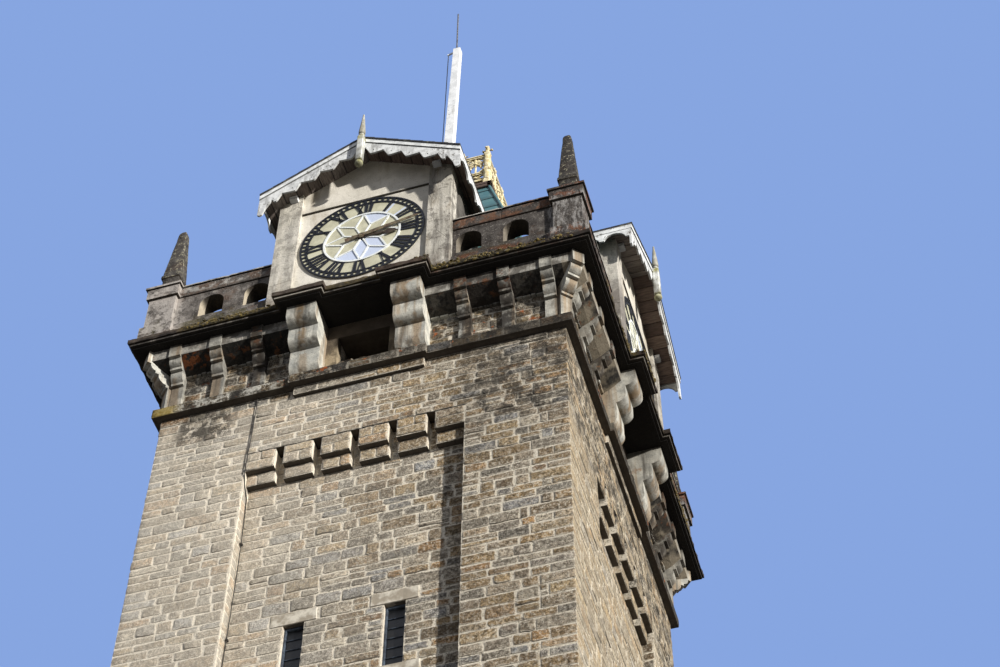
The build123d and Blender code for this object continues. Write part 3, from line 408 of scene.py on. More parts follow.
def make_cornice():
    M, c = make_cement("weathered_cornice")
    n = M.noise(9.0, 5.0, 0.7)
    fasc = M.band(M.h, 1.262, 1.372, 0.006)
    rusty = M.ramp(n, [(0.30, C(0.15, 0.13, 0.11)), (0.46, C(0.30, 0.235, 0.19)), (0.56, C(0.40, 0.345, 0.30)),
                       (0.66, C(0.30, 0.275, 0.20)), (0.80, C(0.56, 0.54, 0.51))])
    mossy = M.ramp(n, [(0.30, C(0.115, 0.105, 0.065)), (0.44, C(0.22, 0.19, 0.09)), (0.56, C(0.40, 0.345, 0.155)),
                       (0.68, C(0.26, 0.22, 0.155)), (0.80, C(0.46, 0.43, 0.30))])
    grn = M.mul(M.rng(M.au, 2.62, 2.30), M.rng(M.o, 3.36, 3.30))
    c = M.mix(M.f("MULTIPLY", fasc, 0.85), c, M.mix(grn, M.mix(0.50, rusty, C(0.10, 0.09, 0.08)), mossy))
    # painted shade: dark line in the groove under the fascia
    c = M.mix(M.f("MULTIPLY", M.band(M.h, 1.247, 1.262, 0.003), 0.9), c, C(0.10, 0.09, 0.085))
    pale = M.mul(M.band(M.h, 1.228, 1.247, 0.004), M.rng(M.noise(3.0, 3.0), 0.36, 0.5), M.rng(M.o, 3.26, 3.32, 0.25, 1.0))
    c = M.mix(M.f("MULTIPLY", pale, 0.8), c, C(0.62, 0.60, 0.56))
    c = M.mix(M.rng(M.h, 1.226, 1.216), c, C(0.115, 0.105, 0.095))
    c = M.mix(M.mul(M.rng(M.x, 0.9, 1.7), M.rng(M.noise(4.0, 4.0, 0.6), 0.32, 0.50, 0.2, 0.6)), c, C(0.10, 0.09, 0.08))
    c = M.mix(M.mul(M.rng(M.h, 1.32, 1.29), M.rng(M.o, 3.36, 3.30), M.rng(M.noise(5.0, 4.0), 0.36, 0.50), 0.7), c, C(0.09, 0.08, 0.07))
    return M.done(c)


def make_coping():
    M, c = make_cement("weathered_coping")
    c = M.mix(M.mul(M.band(M.h, 2.556, 2.60, 0.004), M.rng(M.noise(4.0, 4.0), 0.36, 0.50), 0.85), c, C(0.70, 0.69, 0.66))
    c = M.mix(M.mul(M.band(M.h, 2.36, 2.53, 0.01), M.rng(M.noise(6.0, 5.0, 0.7), 0.42, 0.58), 0.5), c, C(0.42, 0.32, 0.25))
    # painted shade: dark line in the groove under the coping's roll
    c = M.mix(M.f("MULTIPLY", M.band(M.h, 2.537, 2.553, 0.002), 0.9), c, C(0.08, 0.075, 0.07))
    pale = M.mul(M.rng(M.x, -1.0, -1.4), M.rng(M.noise(3.2, 6.0, 0.75), 0.48, 0.54), M.rng(M.h, 2.36, 2.42))
    c = M.mix(M.f("MULTIPLY", pale, 0.7), c, C(0.66, 0.65, 0.63))
    return M.done(c)


# ---- light grey cement of the corbels
def make_corbel():
    M = Mat("corbel_cement", 0.88, 0, 0.25)
    mid, fine = M.noise(6.0, 4.0), M.noise(50.0, 4.0, 0.7)
    streak = M.noise(1.0, 4.0, 0.6, M.scl(M.P, (8.5, 8.5, 0.55)))
    warm = M.noise(1.0, 3.0, 0.5, M.scl(M.P, (6.0, 6.0, 0.45), (5.0, 2.0, 9.0)))
    c = M.mix(M.rng(mid, 0.35, 0.65), C(0.64, 0.64, 0.615), C(0.80, 0.79, 0.745))
    c = M.mix(M.rng(warm, 0.48, 0.62, 0.0, 0.70), c, C(0.56, 0.46, 0.33))
    c = M.mix(M.rng(streak, 0.51, 0.68, 0.0, 0.70), c, C(0.25, 0.235, 0.21))
    c = M.mix(M.rng(M.noise(1.1, 3.0), 0.52, 0.66, 0.0, 0.40), c, C(0.27, 0.26, 0.25))
    c = M.mix(M.rng(fine, 0.35, 0.46, 0.45, 0.0), c, C(0.24, 0.225, 0.20))
    c = M.mix(M.mul(M.rng(M.au, 1.20, 1.26), M.rng(M.au, 2.76, 2.72), M.rng(M.noise(4.0, 4.0, 0.6), 0.34, 0.56, 0.15, 0.55)), c, C(0.27, 0.25, 0.225))
    # soot and rust on some of the small ones
    dark = M.f("MAXIMUM", M.band(M.u, -1.53, -1.31, 0.01), M.band(M.u, 1.31, 2.12, 0.01))
    c = M.mix(M.mul(dark, M.rng(M.noise(5.0, 5.0, 0.7), 0.36, 0.54), 0.88), c, C(0.14, 0.12, 0.105))
    c = M.mix(M.mul(dark, M.rng(M.h, 0.80, 0.95), M.rng(M.noise(9.0, 5.0, 0.7), 0.50, 0.57), 0.75), c, C(0.34, 0.20, 0.11))
    # painted shade: corbels on the right-hand face, which faces the sun, darkened
    c = M.mix(M.f("MULTIPLY", M.rng(M.x, 2.70, 2.76), 0.22), c, C(0.33, 0.30, 0.26))
    c = M.mix(M.rng(M.h, 1.05, 1.20, 0.0, 0.50), c, C(0.20, 0.185, 0.16))
    c = M.mix(M.mul(M.band(M.u, -0.80, -0.68, 0.03), M.rng(M.noise(6.0, 4.0, 0.6), 0.36, 0.52), 0.6), c, C(0.46, 0.37, 0.25))
    c = M.mix(M.mul(M.rng(M.noise(3.1, 4.0, 0.7), 0.62, 0.70), 0.5), c, C(0.53, 0.38, 0.24))
    c = soot_and_shade_under(M, c, 0.30, C(0.24, 0.225, 0.205))
    M.bump(M.noise(5.0, 5.0, 0.6), 0.045, 0.5)
    M.bump(fine, 0.006, 0.8)
    return M.done(c)


# ---- lintels between the corbels and the leaning panels under them
def make_corbel_panel():
    M = Mat("corbel_panel", 0.9, 0, 0.25)
    mid, fine = M.noise(7.0, 5.0, 0.65), M.noise(50.0, 4.0, 0.7)
    streak = M.noise(1.0, 5.0, 0.65, M.scl(M.P, (13, 13, 0.9)))
    face = M.mix(M.rng(mid, 0.38, 0.64), C(0.40, 0.385, 0.36), C(0.66, 0.65, 0.62))
    face = M.mix(M.rng(streak, 0.52, 0.68, 0.0, 0.6), face, C(0.36, 0.34, 0.31))
    # leaning panels under the lintels: grime and painted shade, darker still on the left half of each face
    slope = M.ramp(streak, [(0.30, C(0.07, 0.066, 0.06)), (0.46, C(0.15, 0.142, 0.13)), (0.56, C(0.26, 0.248, 0.225)),
                            (0.66, C(0.17, 0.155, 0.135)), (0.78, C(0.42, 0.405, 0.37))])
    slope = M.mix(M.mul(M.rng(M.noise(2.2, 4.0, 0.7), 0.56, 0.66), 0.35), slope, C(0.34, 0.24, 0.16))
    c = M.mix(M.rng(M.h, 1.003, 0.998), face, slope)
    c = M.mix(M.mul(M.rng(M.u, -0.5, -0.9), M.rng(M.h, 1.003, 0.998), 0.62), c, C(0.075, 0.07, 0.065))
    # painted light: panels on the right-hand face, which faces the sun, lightened in patches
    c = M.mix(M.mul(M.rng(M.x, 2.79, 2.80), M.rng(M.noise(2.6, 4.0), 0.36, 0.52), 0.65), c, C(0.56, 0.52, 0.45))
    rusty = M.mul(M.band(M.x, -2.50, -2.10, 0.03), M.rng(M.y, -2.70, -2.76), M.band(M.h, 0.86, 1.0, 0.01))
    c = M.mix(M.mul(rusty, M.rng(M.noise(7.0, 5.0, 0.7), 0.46, 0.53), 0.8), c, C(0.42, 0.23, 0.10))
    dark = M.band(M.u, 1.44, 2.12, 0.03)
    c = M.mix(M.mul(dark, M.rng(M.noise(3.0, 5.0, 0.7), 0.34, 0.50), 0.85), c, C(0.13, 0.11, 0.095))
    c = M.mix(M.mul(M.rng(M.noise(7.0, 5.0, 0.7), 0.56, 0.64), M.rng(M.noise(0.9, 2.0), 0.46, 0.56), 0.6), c, C(0.42, 0.26, 0.14))
    c = M.mix(M.mul(M.rng(M.h, 1.06, 1.20), M.rng(streak, 0.36, 0.56), 0.6), c, C(0.20, 0.185, 0.165))
    c = M.mix(M.rng(fine, 0.35, 0.46, 0.45, 0.0), c, C(0.20, 0.185, 0.165))
    M.bump(mid, 0.03, 0.6)
    M.bump(fine, 0.006, 0.8)
    return M.done(c)


# ---- moss and lichen cushions
def make_moss():
    M = Mat("moss", 0.97, 0, 0.1)
    pick, bright, seed, edge = M.attr()
    n, fine = M.noise(30.0, 5.0, 0.7), M.noise(120.0, 3.0, 0.7)
    c = M.mix(pick, C(0.26, 0.22, 0.10), C(0.47, 0.40, 0.18))
    c = M.mix(M.rng(n, 0.38, 0.60, 0.6, 0.0), c, C(0.12, 0.105, 0.07))
    c = M.mix(M.rng(M.noise(8.0, 4.0), 0.54, 0.66, 0.0, 0.6), c, C(0.33, 0.28, 0.22))
    M.bump(n, 0.010, 0.8)
    M.bump(fine, 0.004, 0.9)
    M.b.inputs["Sheen Weight"].default_value = 0.25
    return M.done(c)


# ---- cream painted render of the gables
def make_render():
    M = Mat("gable_render", 0.86, 0, 0.3)
    mid, fine = M.noise(3.0, 5.0, 0.62), M.noise(40.0, 4.0, 0.7)
    streak = M.noise(1.0, 5.0, 0.65, M.scl(M.P, (7.5, 7.5, 0.7)))
    c = M.mix(M.rng(mid, 0.36, 0.62), C(0.80, 0.78, 0.73), C(0.88, 0.86, 0.815))
    pil = M.rng(M.au, 0.93, 0.96)
    rt = M.rng(M.u, -0.2, 0.2, 0.55, 0.95)
    c = M.mix(M.mul(pil, M.rng(streak, 0.42, 0.62), rt, 0.85), c, C(0.46, 0.445, 0.42))
    crack = M.mul(M.rng(M.vor(2.1, M.scl(M.P, (1.0, 1.0, 0.55), None), "DISTANCE_TO_EDGE"), 0.009, 0.0), pil)
    patch = M.mul(M.rng(M.noise(6.5, 6.0, 0.75), 0.51, 0.56), pil, rt)
    c = M.mix(M.f("MULTIPLY", pil, 0.10), c, C(0.45, 0.44, 0.42))
    low = M.mul(M.rng(M.x, 2.9, 3.0), M.rng(M.u, -0.93, -0.955), M.rng(M.h, 3.1, 2.5), M.rng(M.noise(3.0, 4.0), 0.30, 0.46))
    c = M.mix(M.f("MULTIPLY", low, 0.75), c, C(0.33, 0.30, 0.29))
    c = M.mix(M.f("MULTIPLY", patch, 0.66), c, C(0.32, 0.30, 0.28))
    # painted shade: the right-hand gable, which faces the sun, darkened
    c = M.mix(M.f("MULTIPLY", M.rng(M.x, 2.9, 3.0), 0.16), c, C(0.42, 0.40, 0.38))
    c = M.mix(M.mul(crack, M.rng(M.noise(0.9, 2.0), 0.44, 0.56), 0.5), c, C(0.34, 0.30, 0.26))
    c = M.mix(M.mul(M.rng(M.u, 0.1, 0.7), M.rng(M.noise(2.6, 4.0, 0.6), 0.34, 0.56, 0.08, 0.22)), c, C(0.46, 0.44, 0.40))
    foot = M.mul(M.rng(M.h, 1.95, 1.37), M.rng(M.noise(5.0, 5.0, 0.7), 0.38, 0.60))
    c = M.mix(M.f("MULTIPLY", foot, 0.75), c, C(0.38, 0.33, 0.28))
    stain = M.rng(M.noise(1.0, 4.0, 0.6, M.scl(M.P, (4.0, 4.0, 0.9), (3.0, 7.0, 1.0))), 0.52, 0.70, 0.0, 0.45)
    c = M.mix(stain, c, C(0.60, 0.535, 0.43))
    c = M.mix(M.rng(fine, 0.33, 0.42, 0.5, 0.0), c, C(0.35, 0.32, 0.29))
    # painted shadow: the small ledge under the dial drawn dark, as the shade line beneath it
    line = M.mul(M.band(M.h, 3.533, 3.564, 0.002), M.rng(M.o, 3.1235, 3.1245), M.rng(M.au, 0.954, 0.952))
    c = M.mix(line, c, C(0.21, 0.195, 0.165))
    # painted shade: the cheeks set back behind the gable wall drawn dark
    c = M.mix(M.mul(M.rng(M.o, 2.95, 2.91), 0.85), c, M.mix(mid, C(0.13, 0.125, 0.12), C(0.27, 0.255, 0.24)))
    c = soot_and_shade_under(M, c, 0.5)
    M.bump(M.noise(4.0, 4.0), 0.03, 0.5)
    M.bump(M.mul(fine, M.f("ADD", 0.35, pil)), 0.012, 0.7)
    M.bump(M.f("SUBTRACT", 1.0, crack), 0.006, 0.7)
    return M.done(c)


# ---- slates
def make_slate():
    M = Mat("slate", 0.7, 0, 0.4)
    pick, bright, seed, edge = M.attr()
    V = M.offset(seed)
    c = M.ramp(pick, [(0.0, C(0.20, 0.20, 0.215)), (0.4, C(0.27, 0.265, 0.27)), (0.7, C(0.235, 0.215, 0.205)),
                      (1.0, C(0.33, 0.32, 0.31))])
    n = M.noise(14.0, 5.0, 0.65, V)
    c = M.mix(M.rng(n, 0.35, 0.62, 0.35, 0.0), c, C(0.10, 0.10, 0.105))
    c = M.mix(M.mul(M.rng(M.noise(5.0, 5.0, 0.7), 0.54, 0.64), M.rng(n, 0.42, 0.58)), c, C(0.47, 0.47, 0.40))
    c = M.mix(M.mul(M.rng(M.noise(3.2, 5.0, 0.7), 0.60, 0.68), 0.7), c, C(0.30, 0.29, 0.15))
    M.bump(n, 0.010, 0.7)
    M.bump(M.noise(60.0, 2.0), 0.002, 0.6)
    return M.done(c, M.rng(n, 0.3, 0.7, 0.55, 0.85))


# ---- blue-green roof sheets
def make_roof():
    M = Mat("roof_sheet", 0.55, 0, 0.45)
    pick, bright, seed, edge = M.attr()
    V = M.offset(seed)
    n, big = M.noise(6.0, 5.0, 0.62), M.noise(1.2, 3.0)
    streak = M.noise(1.0, 5.0, 0.6, M.scl(M.P, (9.0, 9.0, 0.9)))
    c = M.mix(pick, C(0.27, 0.46, 0.48), C(0.35, 0.52, 0.52))
    c = M.mix(M.rng(big, 0.38, 0.64, 0.0, 0.5), c, C(0.22, 0.36, 0.42))
    c = M.mix(M.rng(streak, 0.50, 0.72, 0.0, 0.6), c, C(0.42, 0.54, 0.53))
    c = M.mix(M.rng(M.noise(8.0, 5.0, 0.7), 0.60, 0.72, 0.0, 0.6), c, C(0.34, 0.27, 0.20))
    c = M.mix(M.f("MULTIPLY", edge, 0.6), c, C(0.13, 0.20, 0.21))
    c = soot_and_shade_under(M, c, 0.5)
    M.bump(M.noise(2.2, 3.0), 0.03, 0.35)
    M.bump(n, 0.004, 0.5)
    return M.done(c, M.rng(n, 0.35, 0.65, 0.42, 0.68))


# ---- dark boards
def make_board():
    M = Mat("brown_board", 0.82, 0, 0.25)
    pick, bright, seed, edge = M.attr()
    V = M.offset(seed)
    g = M.noise(1.0, 5.0, 0.65, M.scl(V, (38, 38, 38)))
    grain = M.noise(1.0, 4.0, 0.6, M.scl(V, (60, 7, 60)))
    grain2 = M.noise(1.0, 4.0, 0.6, M.scl(V, (7, 60, 60)))
    gg = M.mix(M.rng(M.f("SUBTRACT", M.f("ABSOLUTE", M.y), M.f("ABSOLUTE", M.x)), -0.05, 0.05), grain2, grain)
    c = M.mix(pick, C(0.36, 0.30, 0.275), C(0.52, 0.45, 0.41))
    # painted light: boards with a high second tint channel, the left-hand soffits that catch the low sun, drawn lighter
    c = M.mix(M.rng(bright, 0.6, 0.9), c, M.mix(pick, C(0.43, 0.39, 0.365), C(0.56, 0.525, 0.495)))
    c = M.mix(M.rng(gg, 0.38, 0.60, 0.5, 0.0), c, C(0.15, 0.125, 0.115))
    c = M.mix(M.rng(M.noise(5.0, 4.0), 0.58, 0.72, 0.0, 0.5), c, C(0.47, 0.43, 0.39))
    M.bump(gg, 0.004, 0.8)
    M.bump(g, 0.002, 0.5)
    return M.done(c)


# ---- white painted timber
def make_white():
    M = Mat("white_timber", 0.6, 0, 0.4)
    n, fine = M.noise(7.0, 5.0, 0.65), M.noise(55.0, 4.0, 0.7)
    c = M.mix(M.rng(n, 0.38, 0.62), C(0.84, 0.85, 0.86), C(0.93, 0.94, 0.95))
    streak = M.noise(1.0, 5.0, 0.6, M.scl(M.P, (13, 13, 1.4)))
    c = M.mix(M.rng(streak, 0.56, 0.72, 0.0, 0.5), c, C(0.62, 0.61, 0.58))
    chip = M.mul(M.rng(M.noise(15.0, 6.0, 0.75), 0.60, 0.635), M.rng(M.noise(1.6, 3.0), 0.44, 0.58))
    c = M.mix(chip, c, M.mix(fine, C(0.36, 0.33, 0.30), C(0.58, 0.55, 0.51)))
    # dirt and painted shade on faces that look down
    under_grime_shade = M.mul(M.rng(M.nz, -0.1, -0.7), 0.55)
    c = M.mix(under_grime_shade, c, C(0.42, 0.41, 0.39))
    M.bump(M.f("SUBTRACT", 1.0, chip), 0.003, 0.7)
    M.bump(fine, 0.003, 0.4)
    return M.done(c, M.rng(n, 0.3, 0.7, 0.50, 0.72))


def make_barge():
    M = Mat("verge_timber", 0.65, 0, 0.35)
    n, fine = M.noise(8.0, 5.0, 0.68), M.noise(60.0, 4.0, 0.7)
    v = M.f("MULTIPLY_ADD", M.au, 0.586, M.h)          # height measured from the roof line
    c = M.mix(M.rng(n, 0.38, 0.62), C(0.78, 0.79, 0.79), C(0.92, 0.93, 0.93))
    low = M.mul(M.rng(v, 4.585, 4.575), M.rng(M.o, 3.38, 3.42))
    c = M.mix(M.mul(low, M.rng(n, 0.34, 0.56, 0.8, 0.3)), c, C(0.72, 0.725, 0.725))
    run = M.noise(1.0, 5.0, 0.7, M.scl(M.P, (15, 15, 2.4)))
    c = M.mix(M.mul(low, M.rng(run, 0.50, 0.64), 0.55), c, C(0.49, 0.485, 0.47))
    # painted shadow: dark line in the gap between the upper strip and the scalloped board
    c = M.mix(M.f("MULTIPLY", M.band(v, 4.573, 4.588, 0.002), 0.85), c, C(0.12, 0.12, 0.12))
    c = M.mix(M.mul(M.band(v, 4.664, 4.678, 0.002), 0.6), c, C(0.35, 0.34, 0.33))
    chip = M.mul(M.rng(M.noise(17.0, 6.0, 0.75), 0.57, 0.61), M.rng(M.noise(1.9, 3.0), 0.42, 0.56))
    c = M.mix(chip, c, M.mix(fine, C(0.30, 0.28, 0.26), C(0.52, 0.50, 0.47)))
    # dirt and painted shade on faces that look down
    c = M.mix(M.mul(M.rng(M.nz, -0.1, -0.7), 0.6), c, C(0.36, 0.355, 0.34))
    M.bump(M.f("SUBTRACT", 1.0, chip), 0.003, 0.7)
    M.bump(fine, 0.003, 0.4)
    return M.done(c, M.rng(n, 0.3, 0.7, 0.52, 0.75))


def make_finial():
    M = Mat("finial_timber", 0.7, 0, 0.35)
    n, fine = M.noise(11.0, 5.0, 0.65), M.noise(70.0, 4.0, 0.7)
    streak = M.noise(1.0, 5.0, 0.6, M.scl(M.P, (26, 26, 2.2)))
    c = M.mix(M.rng(n, 0.38, 0.62), C(0.70, 0.70, 0.67), C(0.86, 0.87, 0.86))
    c = M.mix(M.rng(streak, 0.50, 0.66, 0.0, 0.7), c, C(0.46, 0.45, 0.40))
    top = M.rng(M.h, 4.64, 4.74)
    c = M.mix(M.mul(top, M.rng(n, 0.35, 0.55), 0.75), c, C(0.50, 0.47, 0.38))
    moss = M.mul(M.band(M.h, 4.54, 4.66, 0.05), M.rng(n, 0.40, 0.52))
    ball = M.rng(M.h, 4.04, 4.00)
    c = M.mix(M.f("MAXIMUM", M.f("MULTIPLY", moss, 0.85), M.f("MULTIPLY", ball, 0.7)), c, C(0.53, 0.51, 0.24))
    # dirt and painted shade on faces that look down
    c = M.mix(M.mul(M.rng(M.nz, -0.1, -0.7), 0.6), c, C(0.24, 0.23, 0.19))
    M.bump(fine, 0.003, 0.6)
    M.bump(streak, 0.004, 0.6)
    return M.done(c)


# ---- glass
def make_window_glass():
    M = Mat("window_glass", 0.12, 0, 0.6)
    n = M.noise(5.0, 4.0)
    c = M.mix(M.rng(n, 0.4, 0.65), C(0.022, 0.025, 0.03), C(0.05, 0.057, 0.068))
    M.bump(M.noise(3.0, 2.0), 0.006, 0.4)
    return M.done(c, M.rng(n, 0.35, 0.7, 0.25, 0.55))


def make_dial_glass():
    M = Mat("dial_glass", 0.32, 0, 0.5)
    pick, bright, seed, edge = M.attr()
    n, fine = M.noise(4.0, 5.0, 0.6), M.noise(24.0, 4.0, 0.7)
    c = M.mix(M.rng(n, 0.40, 0.62), C(0.72, 0.71, 0.615), C(0.80, 0.79, 0.69))
    c = M.mix(pick, c, C(0.78, 0.83, 0.94))
    c = M.mix(M.rng(fine, 0.56, 0.70, 0.0, 0.35), c, C(0.60, 0.58, 0.47))
    M.bump(n, 0.004, 0.3)
    return M.done(c, M.rng(fine, 0.35, 0.65, 0.25, 0.5))


def make_dial_iron():
    M = Mat("dial_iron", 0.5, 0, 0.4)
    n = M.noise(22.0, 5.0, 0.65)
    c = M.mix(M.rng(n, 0.40, 0.65), C(0.055, 0.065, 0.095), C(0.12, 0.135, 0.175))
    c = M.mix(M.rng(M.noise(40.0, 4.0, 0.7), 0.62, 0.74, 0.0, 0.6), c, C(0.36, 0.25, 0.18))
    M.bump(n, 0.003, 0.5)
    return M.done(c, M.rng(n, 0.35, 0.65, 0.38, 0.62))


def make_dial_white():
    M = Mat("dial_white", 0.5, 0, 0.4)
    n = M.noise(18.0, 5.0, 0.65)
    c = M.mix(M.rng(n, 0.38, 0.62), C(0.86, 0.88, 0.88), C(0.95, 0.96, 0.95))
    c = M.mix(M.rng(M.noise(30.0, 4.0, 0.7), 0.60, 0.70, 0.0, 0.7), c, C(0.62, 0.56, 0.46))
    M.bump(n, 0.002, 0.5)
    return M.done(c)


def make_hand(name, dark=0.0):
    M = Mat(name, 0.55, 0.0, 0.4)
    n, fine = M.noise(14.0, 5.0, 0.65), M.noise(70.0, 3.0, 0.7)
    c = M.mix(M.rng(n, 0.38, 0.62), C(0.31, 0.28, 0.225), C(0.52, 0.47, 0.375))
    c = M.mix(M.rng(M.noise(9.0, 5.0, 0.7), 0.50, 0.62, 0.0, 0.7), c, C(0.34, 0.225, 0.165))
    c = M.mix(M.rng(fine, 0.34, 0.44, 0.5, 0.0), c, C(0.16, 0.14, 0.12))
    c = M.mix(dark, c, C(0.135, 0.085, 0.07))
    M.bump(n, 0.004, 0.6)
    return M.done(c)


# ---- pale gold castings
def make_crest():
    M = Mat("crest_iron", 0.55, 0.0, 0.4)
    n, fine = M.noise(20.0, 5.0, 0.65), M.noise(90.0, 3.0, 0.7)
    c = M.mix(M.rng(n, 0.38, 0.62), C(0.80, 0.725, 0.52), C(0.95, 0.915, 0.78))
    c = M.mix(M.rng(M.noise(13.0, 5.0, 0.7), 0.54, 0.66, 0.0, 0.7), c, C(0.56, 0.44, 0.25))
    # dirt and painted shade on faces that look down
    c = M.mix(M.mul(M.rng(M.nz, -0.1, -0.7), 0.75), c, C(0.33, 0.27, 0.17))
    c = M.mix(M.rng(fine, 0.34, 0.42, 0.4, 0.0), c, C(0.42, 0.34, 0.21))
    M.bump(n, 0.005, 0.6)
    return M.done(c, M.rng(n, 0.35, 0.65, 0.42, 0.66))


def make_rod():
    M = Mat("rod_metal", 0.45, 0.6, 0.5)
    n = M.noise(30.0, 4.0, 0.65)
    c = M.mix(M.rng(n, 0.40, 0.62), C(0.36, 0.36, 0.37), C(0.55, 0.55, 0.56))
    c = M.mix(M.rng(M.noise(12.0, 4.0), 0.56, 0.68, 0.0, 0.7), c, C(0.36, 0.25, 0.18))
    M.bump(n, 0.002, 0.5)
    return M.done(c, M.rng(n, 0.35, 0.65, 0.35, 0.6))


def make_rope():
    M = Mat("rope_fibre", 0.9, 0, 0.2)
    w = M.nd("ShaderNodeTexWave", wave_type="BANDS", bands_direction="DIAGONAL")
    M.put(w.inputs["Vector"], M.P)
    w.inputs["Scale"].default_value = 22.0
    c = M.mix(w.outputs[1], C(0.36, 0.37, 0.38), C(0.60, 0.61, 0.62))
    M.bump(w.outputs[1], 0.004, 0.9)
    M.b.inputs["Sheen Weight"].default_value = 0.2
    return M.done(c)


def make_floor_stone():
    M = Mat("floor_stone", 0.85, 0, 0.3)
    n = M.noise(5.0, 5.0, 0.62)
    fl = M.nd("ShaderNodeTexBrick", offset=0.5)
    M.put(fl.inputs["Vector"], M.P)
    fl.inputs["Scale"].default_value = 1.0
    fl.inputs["Brick Width"].default_value = 0.6
    fl.inputs["Row Height"].default_value = 0.45
    fl.inputs["Mortar Size"].default_value = 0.008
    fl.inputs["Color1"].default_value = C(0.50, 0.49, 0.46)
    fl.inputs["Color2"].default_value = C(0.58, 0.565, 0.53)
    fl.inputs["Mortar"].default_value = C(0.30, 0.29, 0.27)
    c = M.mix(M.rng(n, 0.38, 0.66, 0.0, 0.5), fl.outputs["Color"], C(0.40, 0.385, 0.36))
    M.bump(M.f("SUBTRACT", 1.0, fl.outputs["Fac"]), 0.006, 0.8)
    M.bump(n, 0.006, 0.5)
    return M.done(c)


def make_cable():
    M = Mat("conductor", 0.6, 0.0, 0.4)
    n = M.noise(40.0, 4.0)
    c = M.mix(M.rng(n, 0.4, 0.6), C(0.13, 0.125, 0.12), C(0.27, 0.25, 0.23))
    M.bump(n, 0.002, 0.5)
    return M.done(c)


STONE, WALL = make_stone(), make_wall()
_M, _c = make_cement("weathered_cement")
CEMENT = _M.done(_c)
CORNICE, COPING = make_cornice(), make_coping()
CORBEL, RENDER, SLATE, ROOF = make_corbel(), make_render(), make_slate(), make_roof()
BOARD, WHITE, FINIAL = make_board(), make_white(), make_finial()
WGLASS, DGLASS, DIRON, DWHITE = make_window_glass(), make_dial_glass(), make_dial_iron(), make_dial_white()
HAND, HOUR = make_hand("hand_metal"), make_hand("hour_hand_metal", 0.78)
CREST, ROD, ROPE, FLAGS, CABLE = make_crest(), make_rod(), make_rope(), make_floor_stone(), make_cable()
CPANEL, MOSS, BARGE = make_corbel_panel(), make_moss(), make_barge()

FINISH = {
    WALL: ["plinth", "corner_pilasters", "front_panel", "right_panel", "back_panel", "left_panel", "panel_corbels",
           "upper_walls_front_back", "upper_walls_sides", "string_course", "bay_ledges"],
    FLAGS: ["ground_floor"], WGLASS: ["slit_windows"],
    CORBEL: ["big_corbels", "small_corbels", "corner_corbels"], CPANEL: ["corbel_lintels"],
    CORNICE: ["cornice"], CEMENT: ["parapets", "corner_piers", "pinnacles"], COPING: ["parapet_copings"],
    ROOF: ["roof_front_back", "roof_sides"], BOARD: ["roof_deck"], RENDER: ["gable_walls", "gable_cheeks"],
    SLATE: ["gable_roofs"], BARGE: ["bargeboards", "eave_boards"], WHITE: ["flagpole"], FINIAL: ["gable_finials"],
    DGLASS: ["dial_glasses"], DIRON: ["dial_frames"],
    HAND: [f"{s}_minute_hand" for s in ("front", "right", "back", "left")],
    HOUR: [f"{s}_hour_hand" for s in ("front", "right", "back", "left")],
    CREST: ["cresting", "cresting_posts"], ROD: ["lightning_rod"], ROPE: ["halyard"],
}
for mat, names in FINISH.items():
    for n in names:
        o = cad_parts[n]
        for i in range(max(1, len(o.material_slots))):
            if len(o.data.materials) == 0:
                o.data.materials.append(mat)
            else:
                o.data.materials[i] = mat


# ---------------------------------------------------------------- mesh helper
def W(k, u, o, z):
    """Side k (0 front, 1 right, 2 back, 3 left), u to the right as seen from outside, o out from the axis."""
    k %= 4
    if k == 0:
        return (u, -o, z)
    if k == 1:
        return (o, u, z)
    if k == 2:
        return (-u, o, z)
    return (-o, -u, z)


